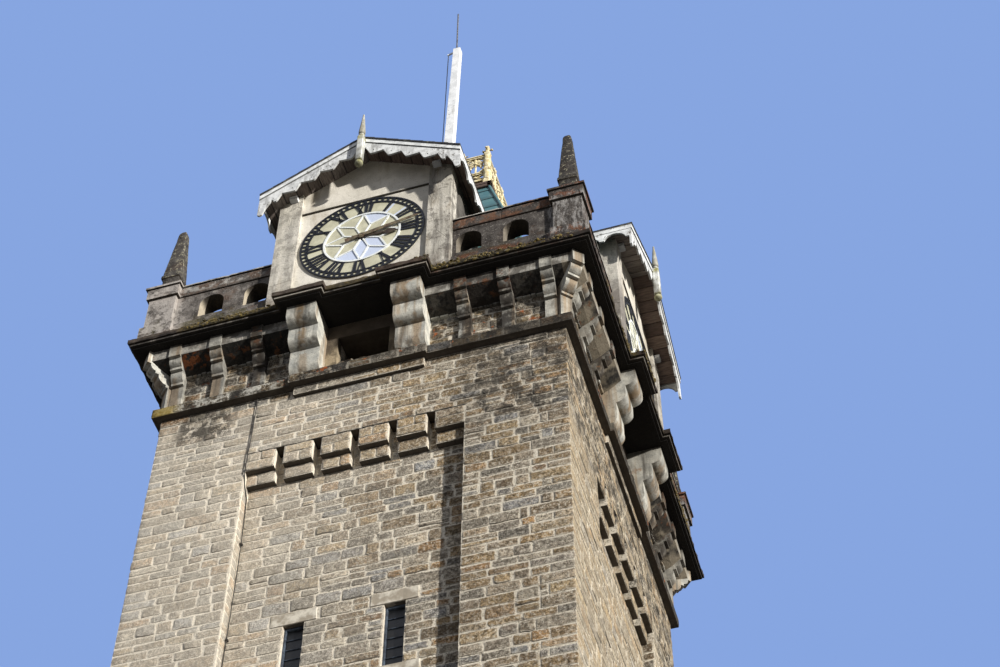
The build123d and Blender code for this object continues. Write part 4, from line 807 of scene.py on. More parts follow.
class MB:
    def __init__(s):
        s.v, s.f, s.t = [], [], []

    def add(s, verts, faces, tint=(0.5, 0.5, 0.5, 0.0), edges=None):
        n = len(s.v)
        s.v += verts
        s.f += [tuple(i + n for i in f) for f in faces]
        if edges is None:
            s.t += [tint] * len(verts)
        else:
            s.t += [(tint[0], tint[1], tint[2], e) for e in edges]

    def convex(s, verts, faces, tint=(0.5, 0.5, 0.5, 0.0)):
        c = Vector((0, 0, 0))
        for p in verts:
            c += Vector(p)
        c /= len(verts)
        out = []
        for f in faces:
            a, b, d = Vector(verts[f[0]]), Vector(verts[f[1]]), Vector(verts[f[2]])
            nn = (b - a).cross(d - a)
            fc = sum((Vector(verts[i]) for i in f), Vector((0, 0, 0))) / len(f)
            out.append(tuple(f) if nn.dot(fc - c) > 0 else tuple(reversed(f)))
        s.add(verts, out, tint)

    def box(s, k, u0, u1, o0, o1, z0, z1, c=0.004, tint=(0.5, 0.5, 0.5, 0.0), jit=0.0, rnd=None):
        """Box with chamfered edges, in side coordinates."""
        lo, hi = (u0, o0, z0), (u1, o1, z1)
        c = min(c, 0.45 * min(u1 - u0, o1 - o0, z1 - z0))
        vs, idx = [], {}
        for i in range(8):
            sg = (i & 1, (i >> 1) & 1, (i >> 2) & 1)
            jj = [rnd.uniform(-jit, jit) for _ in range(3)] if rnd else (0, 0, 0)
            for a in range(3):
                p = []
                for d in range(3):
                    q = hi[d] if sg[d] else lo[d]
                    if d != a:
                        q += -c if sg[d] else c
                    p.append(q + jj[d])
                idx[(sg, a)] = len(vs)
                vs.append(W(k, p[0], p[1], p[2]))
        fs = []
        for a in range(3):
            b, d = (a + 1) % 3, (a + 2) % 3
            for sa in (0, 1):
                q = []
                for sb, sd in ((0, 0), (1, 0), (1, 1), (0, 1)):
                    g = [0, 0, 0]
                    g[a], g[b], g[d] = sa, sb, sd
                    q.append(idx[(tuple(g), a)])
                fs.append(q)
            for sa in (0, 1):
                for sb in (0, 1):
                    g0, g1 = [0, 0, 0], [0, 0, 0]
                    g0[a] = g1[a] = sa
                    g0[b] = g1[b] = sb
                    g0[d], g1[d] = 0, 1
                    fs.append([idx[(tuple(g0), a)], idx[(tuple(g1), a)], idx[(tuple(g1), b)], idx[(tuple(g0), b)]])
        for i in range(8):
            sg = (i & 1, (i >> 1) & 1, (i >> 2) & 1)
            fs.append([idx[(sg, 0)], idx[(sg, 1)], idx[(sg, 2)]])
        s.convex(vs, fs, tint)

    def prism(s, k, pts, o0, o1, tint=(0.5, 0.5, 0.5, 0.0)):
        """Flat plate with outline pts (u, z), anticlockwise from outside, between o0 and o1."""
        n = len(pts)
        vs = [W(k, u, o1, z) for u, z in pts] + [W(k, u, o0, z) for u, z in pts]
        fs = [tuple(range(n)), tuple(range(2 * n - 1, n - 1, -1))]
        fs += [(i, i + n, (i + 1) % n + n, (i + 1) % n) for i in range(n)]
        s.add(vs, fs, tint)

    def ring(s, k, cu, cz, ro, ri, o0, o1, n=96, tint=(0.5, 0.5, 0.5, 0.0)):
        vs = []
        for r, o in ((ro, o1), (ri, o1), (ri, o0), (ro, o0)):
            vs += [W(k, cu + r * sin(2 * pi * i / n), o, cz + r * cos(2 * pi * i / n)) for i in range(n)]
        fs = []
        for q in range(4):
            for i in range(n):
                j = (i + 1) % n
                a, b = q * n, ((q + 1) % 4) * n
                fs.append((a + i, b + i, b + j, a + j))
        fs = [tuple(reversed(f)) for f in fs]
        s.add(vs, fs, tint)

    def loft(s, rings, tint=(0.5, 0.5, 0.5, 0.0), caps=True, closed=True, flip=False):
        n = len(rings[0])
        vs = [tuple(p) for r in rings for p in r]
        fs = []
        for q in range(len(rings) - 1):
            for i in range(n if closed else n - 1):
                j = (i + 1) % n
                fs.append((q * n + i, q * n + j, (q + 1) * n + j, (q + 1) * n + i))
        if caps:
            fs.append(tuple(range(n - 1, -1, -1)))
            b = (len(rings) - 1) * n
            fs.append(tuple(range(b, b + n)))
        if flip:
            fs = [tuple(reversed(f)) for f in fs]
        s.add(vs, fs, tint)

    def tube(s, pts, r, n=6, tint=(0.5, 0.5, 0.5, 0.0)):
        pts = [Vector(p) for p in pts]
        rs = r if isinstance(r, (list, tuple)) else [r] * len(pts)
        ref = None
        rings = []
        for i, p in enumerate(pts):
            d = (pts[min(i + 1, len(pts) - 1)] - pts[max(i - 1, 0)]).normalized()
            if ref is None:
                ref = Vector((0, 0, 1)) if abs(d.z) < 0.9 else Vector((1, 0, 0))
            a = (ref - d * ref.dot(d)).normalized()
            ref = a
            b = d.cross(a)
            rings.append([tuple(p + (a * cos(2 * pi * q / n) + b * sin(2 * pi * q / n)) * rs[i]) for q in range(n)])
        s.loft(rings, tint)

    def lathe(s, cx, cy, prof, n=20, tint=(0.5, 0.5, 0.5, 0.0)):
        """Round form about a vertical axis; prof is (radius, z) from the bottom up."""
        rings = [[(cx + max(r, 0.0005) * cos(2 * pi * i / n), cy + max(r, 0.0005) * sin(2 * pi * i / n), z)
                  for i in range(n)] for r, z in prof]
        s.loft(rings, tint)

    def build(s, name, mat, slot, body="tower", angle=None, replaces=()):
        me = bpy.data.meshes.new(name)
        me.from_pydata(s.v, [], s.f)
        me.update()
        at = me.attributes.new("tint", "FLOAT_COLOR", "POINT")
        flat = [c for t in s.t for c in t]
        at.data.foreach_set("color", flat)
        me.materials.append(mat)
        if angle is not None:
            me.shade_smooth()
            me.set_sharp_from_angle(angle=radians(angle))
        ob = bpy.data.objects.new(name, me)
        bpy.context.scene.collection.objects.link(ob)
        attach(ob, body)
        if replaces:
            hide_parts(*replaces)
        return ob


def nz(a, b, c):
    return noise.noise(Vector((a, b, c)))


# ---------------------------------------------------------------- rubble facing
W2, RC, RD = 2.75, 1.43, 0.17
Z_HEAD = ZS - 1.08
WIN_X, WIN_W, WIN_H = 0.608, 0.258, 0.96
HEADS = [ZS - 4.13, ZS - 8.43, ZS - 12.73, ZS - 17.03]


def stone(mb, k, o0, ul, ur, zbl, zbr, ztl, ztr, h, rnd, gap=0.010, pick=None, bright=None):
    g = lambda: gap * rnd.uniform(0.25, 1.8)
    ul, ur, zbl, zbr, ztl, ztr = ul + g(), ur - g(), zbl + g() * 0.8, zbr + g() * 0.8, ztl - g() * 0.8, ztr - g() * 0.8
    w, hh = ur - ul, min(ztl - zbl, ztr - zbr)
    if w < 0.03 or hh < 0.025:
        return
    zb = lambda u: zbl + (zbr - zbl) * (u - ul) / w
    zt = lambda u: ztl + (ztr - ztl) * (u - ul) / w
    m_ = min(0.018, 0.15 * hh, 0.12 * w)
    c = [m_ * rnd.uniform(0.25, 1.3) for _ in range(4)]
    j = lambda a: rnd.uniform(-a, a)
    jb = min(0.010, 0.08 * hh)
    u1, u2_, u3, u4 = (ul + w * rnd.uniform(0.3, 0.45), ul + w * rnd.uniform(0.6, 0.75), ul + w * rnd.uniform(0.25, 0.4),
                       ul + w * rnd.uniform(0.6, 0.75))
    pts = [(ul + c[0], zb(ul + c[0])), (u1, zb(u1) + j(jb)), (u2_, zb(u2_) + j(jb)), (ur - c[1], zb(ur - c[1])),
           (ur + j(0.004), zb(ur) + c[1]), (ur + j(0.009), (zbr + ztr) / 2), (ur + j(0.004), zt(ur) - c[2]),
           (ur - c[2], zt(ur - c[2])), (u4, zt(u4) + j(jb)), (u3, zt(u3) + j(jb)), (ul + c[3], zt(ul + c[3])),
           (ul + j(0.004), zt(ul) - c[3]), (ul + j(0.009), (zbl + ztl) / 2), (ul + j(0.004), zb(ul) + c[0])]
    low = max(ztl, ztr) < 15.0          # fewer points far down the shaft
    if low:
        pts = pts[:5] + pts[6:12] + pts[13:]
    cu = sum(p[0] for p in pts) / len(pts)
    cz = sum(p[1] for p in pts) / len(pts)
    tu, tz = rnd.uniform(-0.35, 0.35) * h / w, rnd.uniform(-0.4, 0.4) * h / hh
    vs, ed = [], []
    n = len(pts)

    def level(ins, hf, jf, e):
        su, sz = max(0.1, 1 - ins / (w / 2)), max(0.1, 1 - ins / (hh / 2))
        for (u, z) in pts:
            uu, zz = cu + (u - cu) * su, cz + (z - cz) * sz
            d = h * hf * (1 + rnd.uniform(-jf, jf)) + ((uu - cu) * tu + (zz - cz) * tz) * (hf if hf > 0 else 0)
            vs.append(W(k, uu, o0 + (d if hf > 0 else -0.006), zz))
            ed.append(e)
    level(0.0, 0.0, 0.0, 1.0)
    if not low:
        level(min(0.005, 0.12 * hh), 0.65, 0.15, 0.8)
    level(min(0.012 if low else 0.020, 0.32 * hh), 1.0, 0.30, 0.15)
    d = h * rnd.uniform(0.9, 1.3)
    vs.append(W(k, cu, o0 + d, cz))
    ed.append(0.0)
    fs = []
    top = 1 if low else 2
    for q in range(top):
        for i in range(n):
            i2 = (i + 1) % n
            fs.append((q * n + i, q * n + i2, (q + 1) * n + i2, (q + 1) * n + i))
    for i in range(n):
        fs.append((top * n + i, top * n + (i + 1) % n, (top + 1) * n))
    t = (rnd.random() if pick is None else pick, rnd.random() if bright is None else bright, rnd.random(), 0)
    mb.add(vs, fs, t, ed)


def quoin(mb, k, w, z0, z1, la, lb, h, rnd, gap=0.008):
    """Stone that turns the corner between side k and side k + 1, both faces w out from the axis."""
    z0, z1 = z0 + gap * rnd.uniform(0.4, 1.3), z1 - gap * rnd.uniform(0.4, 1.3)
    hh = z1 - z0
    rows = [(0.0, 0.0, 1.0), (0.007, 0.6, 0.8), (min(0.03, 0.3 * hh), 1.0, 0.15), (hh / 2, 1.12, 0.0),
            (hh - min(0.03, 0.3 * hh), 1.0, 0.15), (hh - 0.007, 0.6, 0.8), (hh, 0.0, 1.0)]
    vs, ed = [], []
    n = 11
    for dz, hf, er in rows:
        d = h * hf if hf > 0 else -0.006
        dd = lambda f: (h * min(hf, f) if min(hf, f) > 0 else -0.006)
        r = 0.016 * rnd.uniform(0.6, 1.2)
        q = [(w - la, w + dd(0.0)), (w - la + 0.008, w + dd(0.6)), (w - la + 0.03, w + dd(1.0)),
             (w - 0.09, w + d * rnd.uniform(0.9, 1.15)), (w + d - r, w + d), (w + d - r * 0.35, w + d - r * 0.35),
             (w + d, w + d - r), (w + d * rnd.uniform(0.9, 1.15), w - 0.09), (w + dd(1.0), w - lb + 0.03),
             (w + dd(0.6), w - lb + 0.008), (w + dd(0.0), w - lb)]
        ec = [1.0, 0.8, 0.15, 0, 0.1, 0.35, 0.1, 0, 0.15, 0.8, 1.0]
        for (a, b), e in zip(q, ec):
            vs.append(W(k, a, b, z0 + dz + nz(a * 3, b * 3, z0 * 5) * 0.004))
            ed.append(max(er, e))
    fs = []
    for a in range(len(rows) - 1):
        for i in range(n - 1):
            fs.append((a * n + i, a * n + i + 1, (a + 1) * n + i + 1, (a + 1) * n + i))
    mb.add(vs, fs, (rnd.random(), rnd.uniform(0.3, 1.0), rnd.random(), 0), ed)


def levels(a, b, keys, rnd, lo=0.125, hi=0.175):
    ks = [a] + sorted(q for q in keys if a + 0.01 < q < b - 0.01) + [b]
    out = []
    for p, q in zip(ks, ks[1:]):
        n = max(1, round((q - p) / rnd.uniform(lo, hi)))
        ws = [rnd.uniform(0.72, 1.30) for _ in range(n)]
        t, z = sum(ws), p
        for v in ws:
            z2 = z + (q - p) * v / t
            out.append((z, z2))
            z = z2
        out[-1] = (out[-1][0], q)
    return out, set(round(v, 4) for v in ks)


def fill(mb, k, o0, ua, ub, course, keyz, rnd, hfun, wave=0.017, wlo=0.17, whi=0.46, gap=0.0085, fade=(2.3, 2.6)):
    z0, z1 = course

    def edge(z, u):
        if round(z, 4) in keyz:
            return z
        f = 1 - min(1, max(0, (abs(u) - fade[0]) / (fade[1] - fade[0])))
        return z + wave * f * (nz(u * 0.9 + 3 * k, z * 5.1, k * 3.7) + 0.5 * nz(u * 3.1, z * 9.7, k))
    u = ua
    while u < ub - 0.02:
        w = rnd.uniform(wlo, whi) * (1.0 if z1 - z0 > 0.11 else 1.15)
        if ub - (u + w) < wlo * 0.6:
            w = ub - u if ub - u < whi * 1.15 else (ub - u) / 2
        v = min(ub, u + w)
        h = hfun(rnd)
        if z1 - z0 > 0.135 and rnd.random() < 0.13:
            s_ = rnd.uniform(0.4, 0.6)
            zm = lambda q: edge(z0, q) * (1 - s_) + edge(z1, q) * s_
            stone(mb, k, o0, u, v, edge(z0, u), edge(z0, v), zm(u), zm(v), h, rnd, gap)
            stone(mb, k, o0, u, v, zm(u), zm(v), edge(z1, u), edge(z1, v), hfun(rnd), rnd, gap)
        else:
            sl = rnd.uniform(-0.008, 0.008)
            stone(mb, k, o0, u + sl, v + sl if v < ub - 0.03 else v, edge(z0, u), edge(z0, v), edge(z1, u), edge(z1, v), h,
                  rnd, gap)
        u = v


def relief(rnd):
    r = rnd.random()
    return rnd.uniform(0.004, 0.009) if r < 0.85 else rnd.uniform(0.009, 0.016)


# corner courses shared by both faces of a corner
crnd = random.Random(11)
CORNER, CKEY = levels(0.60, ZS, [Z_HEAD], crnd)
for k in range(4):
    rnd = random.Random(100 + k)
    mb = MB()
    for i, (z0, z1) in enumerate(CORNER):
        long_a = i % 2 == 0
        a1 = (0.45 if long_a else 0.25)
        a2 = (0.25 if long_a else 0.45)
        # right end of this face belongs to corner k, left end to corner k - 1
        ja, jb = random.Random(7000 + i * 4 + k).uniform(-0.06, 0.06), random.Random(7000 + i * 4 + (k - 1) % 4).uniform(-0.06, 0.06)
        ra, lb = a1 + ja, a2 + jb
        quoin(mb, k, W2, z0, z1, ra, (0.25 if long_a else 0.45) + ja, relief(rnd) * 0.8, rnd, 0.006)
        if z1 <= Z_HEAD + 0.001:
            # stones on the two cheeks of the recess
            if z1 < Z_HEAD - 0.5:
                for kk, p, q in ((k + 1, -W2 + 0.004, -W2 + RD - 0.004), (k + 3, W2 - RD + 0.004, W2 - 0.004)):
                    stone(mb, kk, -RC, p, q, z0, z0, z1, z1, 0.005, rnd, 0.008, rnd.choice((0.1, 0.42, 0.75, 0.95)))
            fill(mb, k, W2, -W2 + lb, -RC, (z0, z1), CKEY, rnd, relief)
            fill(mb, k, W2, RC, W2 - ra, (z0, z1), CKEY, rnd, relief)
        else:
            fill(mb, k, W2, -W2 + lb, W2 - ra, (z0, z1), CKEY, rnd, relief)
    # recessed panel
    keys = []
    for zh in HEADS:
        keys += [zh + 0.20, zh, zh - WIN_H, zh - WIN_H - 0.15]
    if k == 0:
        keys += [2.35, 2.35 + 0.26]
    top = Z_HEAD - 0.535
    pan, pkey = levels(0.60, top, keys, rnd)
    for z0, z1 in pan:
        holes = []
        zc = (z0 + z1) / 2
        for zh in HEADS:
            for s in (-1, 1):
                if zh - WIN_H < zc < zh:
                    holes.append((s * WIN_X - WIN_W / 2, s * WIN_X + WIN_W / 2))
                elif zh < zc < zh + 0.20:
                    holes.append((s * WIN_X - 0.30, s * WIN_X + 0.30))
                elif zh - WIN_H - 0.15 < zc < zh - WIN_H:
                    holes.append((s * WIN_X - 0.34, s * WIN_X + 0.34))
        if k == 0 and zc < 2.35:
            holes.append((-0.5, 0.5))
        elif k == 0 and zc < 2.61:
            holes.append((-0.72, 0.72))
        holes.sort()
        u = -RC
        for a, b in holes + [(RC, RC)]:
            if a - u > 0.05:
                fill(mb, k, W2 - RD, u, a, (z0, z1), pkey, rnd, relief, fade=(9, 10))
            u = b
    # courses behind and between the head blocks
    for i in range(5):
        a = -RC + 0.38 + i * (2 * RC - 0.38) / 5
        b = -RC + (i + 1) * (2 * RC - 0.38) / 5
        for z0, z1 in levels(top, Z_HEAD, [], rnd)[0]:
            fill(mb, k, W2 - RD, a, b, (z0, z1), {round(z0, 4), round(z1, 4)}, rnd, relief)
    mb.build("stone_facing_" + ("front", "right", "back", "left")[k], STONE, "rubble_stone", angle=50)

# head blocks, string course, ledge, base course and corbel stage
mb = MB()
flat = lambda rnd: rnd.uniform(0.002, 0.007)
for k in range(4):
    rnd = random.Random(300 + k)
    for i in range(6):
        a = -RC + i * (2 * RC - 0.38) / 5
        zj = Z_HEAD - 0.335 + rnd.uniform(0.13, 0.19)
        for z0, z1, o in ((Z_HEAD - 0.335, zj, W2), (zj, Z_HEAD - 0.012, W2), (Z_HEAD - 0.535, Z_HEAD - 0.335, W2 - RD / 2)):
            cut = a + 0.38 if rnd.random() < 0.45 else a + rnd.uniform(0.14, 0.24)
            for p, q in ((a, cut), (cut, a + 0.38)):
                if q - p > 0.05:
                    stone(mb, k, o, p, q, z0, z0, z1, z1, 0.011, rnd, 0.004, rnd.choice((0.0, 0.08, 0.2, 0.66, 0.72, 0.95)),
                          rnd.uniform(0.5, 1))
    key = {round(ZS, 4), round(ZS + 0.16, 4), round(ZS - 0.15, 4)}
    la, lb = 0.42, 0.30
    quoin(mb, k, W2 + 0.106, ZS, ZS + 0.16, la, lb, 0.006, rnd, 0.004)
    fill(mb, k, W2 + 0.106, -2.856 + lb, -0.935, (ZS, ZS + 0.16), key, rnd, flat, 0, 0.22, 0.5, 0.006)
    fill(mb, k, W2 + 0.106, 0.935, 2.856 - la, (ZS, ZS + 0.16), key, rnd, flat, 0, 0.22, 0.5, 0.006)
    fill(mb, k, W2 + 0.155, -0.935, 0.935, (ZS, ZS + 0.16), key, rnd, flat, 0, 0.18, 0.42, 0.006)
    fill(mb, k, W2 + 0.055, -0.885, 0.885, (ZS - 0.15, ZS), key, rnd, flat, 0, 0.25, 0.55, 0.006)
    # base course
    pl, pk = levels(0.012, 0.60, [0.15], rnd, 0.2, 0.24)
    for i, (z0, z1) in enumerate(pl):
        quoin(mb, k, W2 + 0.08, z0, z1, 0.5, 0.4, 0.010, rnd)
        spans = [(-2.83 + 0.4, -0.5), (0.5, 2.83 - 0.5)] if k == 0 and z0 > 0.1 else [(-2.83 + 0.4, 2.83 - 0.5)]
        for a, b in spans:
            fill(mb, k, W2 + 0.08, a, b, (z0, z1), {round(z0, 4), round(z1, 4)}, rnd, relief, 0, 0.35, 0.8)
    # low stones between the corbels
    for a, b, top in ((0.935, 1.3375, 0.80), (1.5025, 1.9225, 0.80), (2.0875, 2.4995, 0.80), (2.6645, 2.75, 0.80)):
        for s in (-1, 1):
            for z0, z1 in levels(ZS + 0.16, ZS + top, [], rnd, 0.13, 0.17)[0]:
                p, q = (a, b) if s > 0 else (-b, -a)
                fill(mb, k, W2, p, q, (z0, z1), {round(z0, 4), round(z1, 4)}, rnd, relief, 0, 0.12, 0.34)
mb.build("stone_trim", STONE, "rubble_stone", angle=50)

# broken stones along the lip of the bay openings
mb = MB()
for k in range(4):
    rnd = random.Random(350 + k)
    u = -0.42
    while u < 0.62:
        w = rnd.uniform(0.07, 0.16)
        zt_ = ZS + 0.16 + rnd.uniform(0.012, 0.045)
        mb.box(k, u, u + w - 0.008, 2.62, 2.872 + rnd.uniform(0, 0.045), ZS + 0.150, zt_, 0.016,
               (rnd.random(), rnd.uniform(0.2, 0.9), rnd.random(), 0.35), 0.007, rnd)
        u += w
mb.build("lip_stones", STONE, "rubble_stone")

# lintels and sills of the slit windows and the doorway
mb = MB()
for k in range(4):
    rnd = random.Random(400 + k)
    for zh in HEADS:
        for s in (-1, 1):
            c = s * WIN_X
            t = (0.88, 0.9, rnd.random(), 0.0)
            mb.box(k, c - 0.30 + rnd.uniform(0, 0.03), c + 0.30 - rnd.uniform(0, 0.03), 2.50, 2.588, zh, zh + 0.198, 0.008, t,
                   0.003, rnd)
            mb.box(k, c - 0.335, c + 0.335, 2.48, 2.600, zh - WIN_H - 0.148, zh - WIN_H, 0.010, t, 0.003, rnd)
    if k == 0:
        mb.box(k, -0.72, 0.72, 2.50, 2.596, 2.35, 2.61, 0.012, (0.88, 0.8, 0.3, 0.0), 0.003, rnd)
        mb.box(k, -0.5, 0.5, 2.10, 2.86, 0.10, 0.158, 0.012, (0.3, 0.5, 0.7, 0.0), 0.002, rnd)
LINT = None


def make_lintel():
    M = Mat("dressed_stone", 0.88, 0, 0.25)
    n, fine = M.noise(5.0, 5.0, 0.6), M.noise(48.0, 4.0, 0.7)
    c = M.mix(M.rng(n, 0.40, 0.58), C(0.60, 0.565, 0.505), C(0.79, 0.765, 0.71))
    c = M.mix(M.rng(fine, 0.34, 0.44, 0.4, 0.0), c, C(0.50, 0.465, 0.41))
    c = M.mix(M.rng(M.noise(1.0, 4.0, 0.6, M.scl(M.P, (9, 9, 1.4))), 0.54, 0.70, 0.0, 0.4), c, C(0.50, 0.47, 0.42))
    c = soot_and_shade_under(M, c, 0.7)
    M.bump(n, 0.02, 0.5)
    M.bump(fine, 0.004, 0.7)
    return M.done(c)


LINT = make_lintel()
mb.build("lintels_and_sills", LINT, "rubble_stone")

# small stones and render patches wedged over the leaning panels' feet
mb = MB()
for k in range(4):
    rnd = random.Random(420 + k)
    for a, b in ((0.935, 1.3375), (1.5025, 1.9225), (2.0875, 2.4995)):
        for s in (-1, 1):
            p, q = (a, b) if s > 0 else (-b, -a)
            u = p + 0.004
            while u < q - 0.03:
                w = min(rnd.uniform(0.05, 0.13), q - 0.004 - u)
                mb.box(k, u, u + w - 0.006, 2.74, 2.789 + rnd.uniform(0, 0.012), ZS + 0.792, ZS + 0.815 + rnd.uniform(0, 0.016),
                       0.007, (0.5, 0.5, 0.5, 0), 0.003, rnd)
                u += w
mb.build("panel_foot_stones", CORBEL, "corbel_cement")

# ---------------------------------------------------------------- cornice
CO = [(-3.236, 3.236, 1, 0), (-1.090, 3.236, 1, 0), (-1.090, 3.428, 1, 0), (-0.362, 3.428, -1, 0), (-0.362, 3.333, -1, 0),
      (0.362, 3.333, 1, 0), (0.362, 3.428, 1, 0), (1.090, 3.428, 1, 0), (1.090, 3.236, 1, 0), (3.236, 3.236, 1, 0)]


def cornice_outline(d):
    return [(-(3.236 - d), 3.236 - d), (-(1.090 - d), 3.236 - d), (-(1.090 - d), 3.428 - d), (-(0.362 + d), 3.428 - d),
            (-(0.362 + d), 3.333 - d), (0.362 + d, 3.333 - d), (0.362 + d, 3.428 - d), (1.090 - d, 3.428 - d),
            (1.090 - d, 3.236 - d), (3.236 - d, 3.236 - d)]


prof = [(0.072, 0.000), (0.072, 0.018), (0.030, 0.026), (0.026, 0.047), (0.044, 0.050), (0.044, 0.062), (0.000, 0.066),
        (0.000, 0.150), (0.012, 0.158), (0.060, 0.165)]
CSEG = [64, 4, 22, 3, 22, 3, 22, 4, 64]
mb = MB()
for k in range(4):
    rows = []
    for qi, (d, dz) in enumerate(prof):
        ol = cornice_outline(d)
        row = []
        for a in range(9):
            (ua, oa), (ub, ob) = ol[a], ol[a + 1]
            for q in range(CSEG[a]):
                t = q / CSEG[a]
                u, o = ua + (ub - ua) * t, oa + (ob - oa) * t
                er = 0.0
                if q > 0 and dz > 0.06:
                    er = abs(nz(u * 6, o * 4 + k * 9, dz * 22)) * 0.026
                    if dz > 0.15:
                        er = abs(nz(u * 8, o * 6 + k * 9, dz * 9)) * 0.04
                zz = ZS + 1.2 + dz - (abs(nz(u * 7, k * 7 + 2, 1)) * 0.016 if 0.14 < dz < 0.16 else 0)
                row.append(W(k, u, o - er, zz))
        row.append(W(k, ol[9][0], ol[9][1], ZS + 1.2 + dz))
        rows.append(row)
    # inner line that follows the outer one, square hole of the hollow
    def inner(row, z):
        return [W(k, max(-2.05, min(2.05, (p[0], p[1], -p[0], -p[1])[k])), 2.05, z) for p in row]
    full = [inner(rows[0], ZS + 1.2)] + rows + [inner(rows[-1], ZS + 1.365)]
    mb.loft(full, caps=False, closed=False)
    # inner face of the ring
    mb.add([W(k, -2.05, 2.05, ZS + 1.2), W(k, 2.05, 2.05, ZS + 1.2), W(k, 2.05, 2.05, ZS + 1.365), W(k, -2.05, 2.05, ZS + 1.365)],
           [(3, 2, 1, 0)])
mb.build("cornice_moulded", CORNICE, "weathered_cement", angle=28, replaces=("cornice",))


def clump(mb, k, u, o, z, ru, ro_, rz, rnd):
    """Flattened, uneven cushion that sits on a ledge or hangs over its edge."""
    sd = rnd.uniform(0, 50)
    rings = []
    for lat in (-74, -22, 30, 76):
        ring = []
        for q in range(6):
            lon = 2 * pi * q / 6
            x, y, w = cos(radians(lat)) * cos(lon), cos(radians(lat)) * sin(lon), sin(radians(lat))
            f = 1 + 0.5 * nz(x * 1.7 + sd, y * 1.7, w * 1.7 + sd)
            ring.append(W(k, u + x * ru * f, o + y * ro_ * f, z + w * rz * f))
        rings.append(ring)
    mb.loft(rings, (rnd.random(), 0.5, rnd.random(), 0))


# moss and lumps of old mortar along the top edge of the cornice and the parapet's foot
mb = MB()
for k in range(4):
    rnd = random.Random(880 + k)
    for _ in range(1500):
        u = rnd.uniform(-3.2, 3.2)
        bay = 0.362 < abs(u) < 1.09
        dens = nz(u * 1.1, k * 3.3, 4.4) + (0.34 if 1.12 < abs(u) < 2.35 else -0.22) - (0.15 if bay or abs(u) < 0.362 else 0)
        if dens < rnd.uniform(-0.15, 0.45):
            continue
        edge_o = 3.428 if bay else 3.333 if abs(u) < 0.37 else 3.236
        s_ = rnd.uniform(0.010, 0.026)
        if rnd.random() < 0.62:
            z, o = ZS + 1.365 - rnd.uniform(0.0, 0.088), edge_o - rnd.uniform(0.004, 0.016)
            clump(mb, k, u, o, z, s_ * rnd.uniform(0.9, 1.7), s_ * 0.75, s_ * rnd.uniform(0.6, 1.0), rnd)
        else:
            z, o = ZS + 1.362, edge_o - rnd.uniform(0.0, 0.16)
            clump(mb, k, u, o, z, s_ * rnd.uniform(1.0, 2.0), s_ * rnd.uniform(1.0, 1.7), s_ * rnd.uniform(0.5, 0.9), rnd)
    for _ in range(130):
        u = rnd.uniform(-3.1, 3.1)
        if 1.0 < abs(u) < 1.30 or abs(u) < 1.0:
            continue
        s_ = rnd.uniform(0.008, 0.020)
        o = 3.065 if abs(u) < 2.68 else 3.158
        clump(mb, k, u, o, ZS + 1.372 + rnd.uniform(0, 0.03), s_ * 1.6, s_, s_ * 0.9, rnd)
    # lichen on top of the string course's left end
    for _ in range(90):
        u = -2.83 + abs(rnd.gauss(0, 0.35))
        s_ = rnd.uniform(0.006, 0.015)
        clump(mb, k, u, 2.852 - rnd.uniform(0, 0.03), ZS + 0.160 - rnd.uniform(0, 0.03), s_ * 1.5, s_, s_ * 0.8, rnd)
mb.build("moss_clumps", MOSS, "weathered_cement", angle=80)

# ---------------------------------------------------------------- copings
mb = MB()
cprof = [(3.064, 2.341), (3.070, 2.349), (3.070, 2.528), (3.056, 2.536), (3.056, 2.549), (3.083, 2.553), (3.085, 2.562),
         (3.083, 2.578), (3.072, 2.588), (2.748, 2.588), (2.737, 2.580), (2.735, 2.556), (2.760, 2.549), (2.760, 2.536),
         (2.750, 2.528), (2.750, 2.341)]
for k in range(4):
    for s in (-1, 1):
        for a, b in ((1.292, 1.984), (1.991, 2.683)):
            p, q = (a, b) if s > 0 else (-b, -a)
            rows = []
            nsg = 12
            for i in range(nsg + 1):
                u = p + (q - p) * i / nsg
                e = 0.005 if i in (0, nsg) else 0.0
                row = []
                for (o, z) in cprof:
                    top = z > 2.55
                    j = nz(u * 7, o * 9 + k * 5, z * 11) * (0.007 if top else 0.004)
                    cc = 2.91
                    row.append(W(k, u, o - (e if o > cc else -e) - abs(j) * (1 if o > cc else -1), ZS + z - (e if z > 2.5 else 0) - (abs(j) if top else 0)))
                rows.append(row)
            mb.loft(rows, flip=False)
mb.build("coping_slabs", COPING, "weathered_cement", angle=40, replaces=("parapet_copings",))

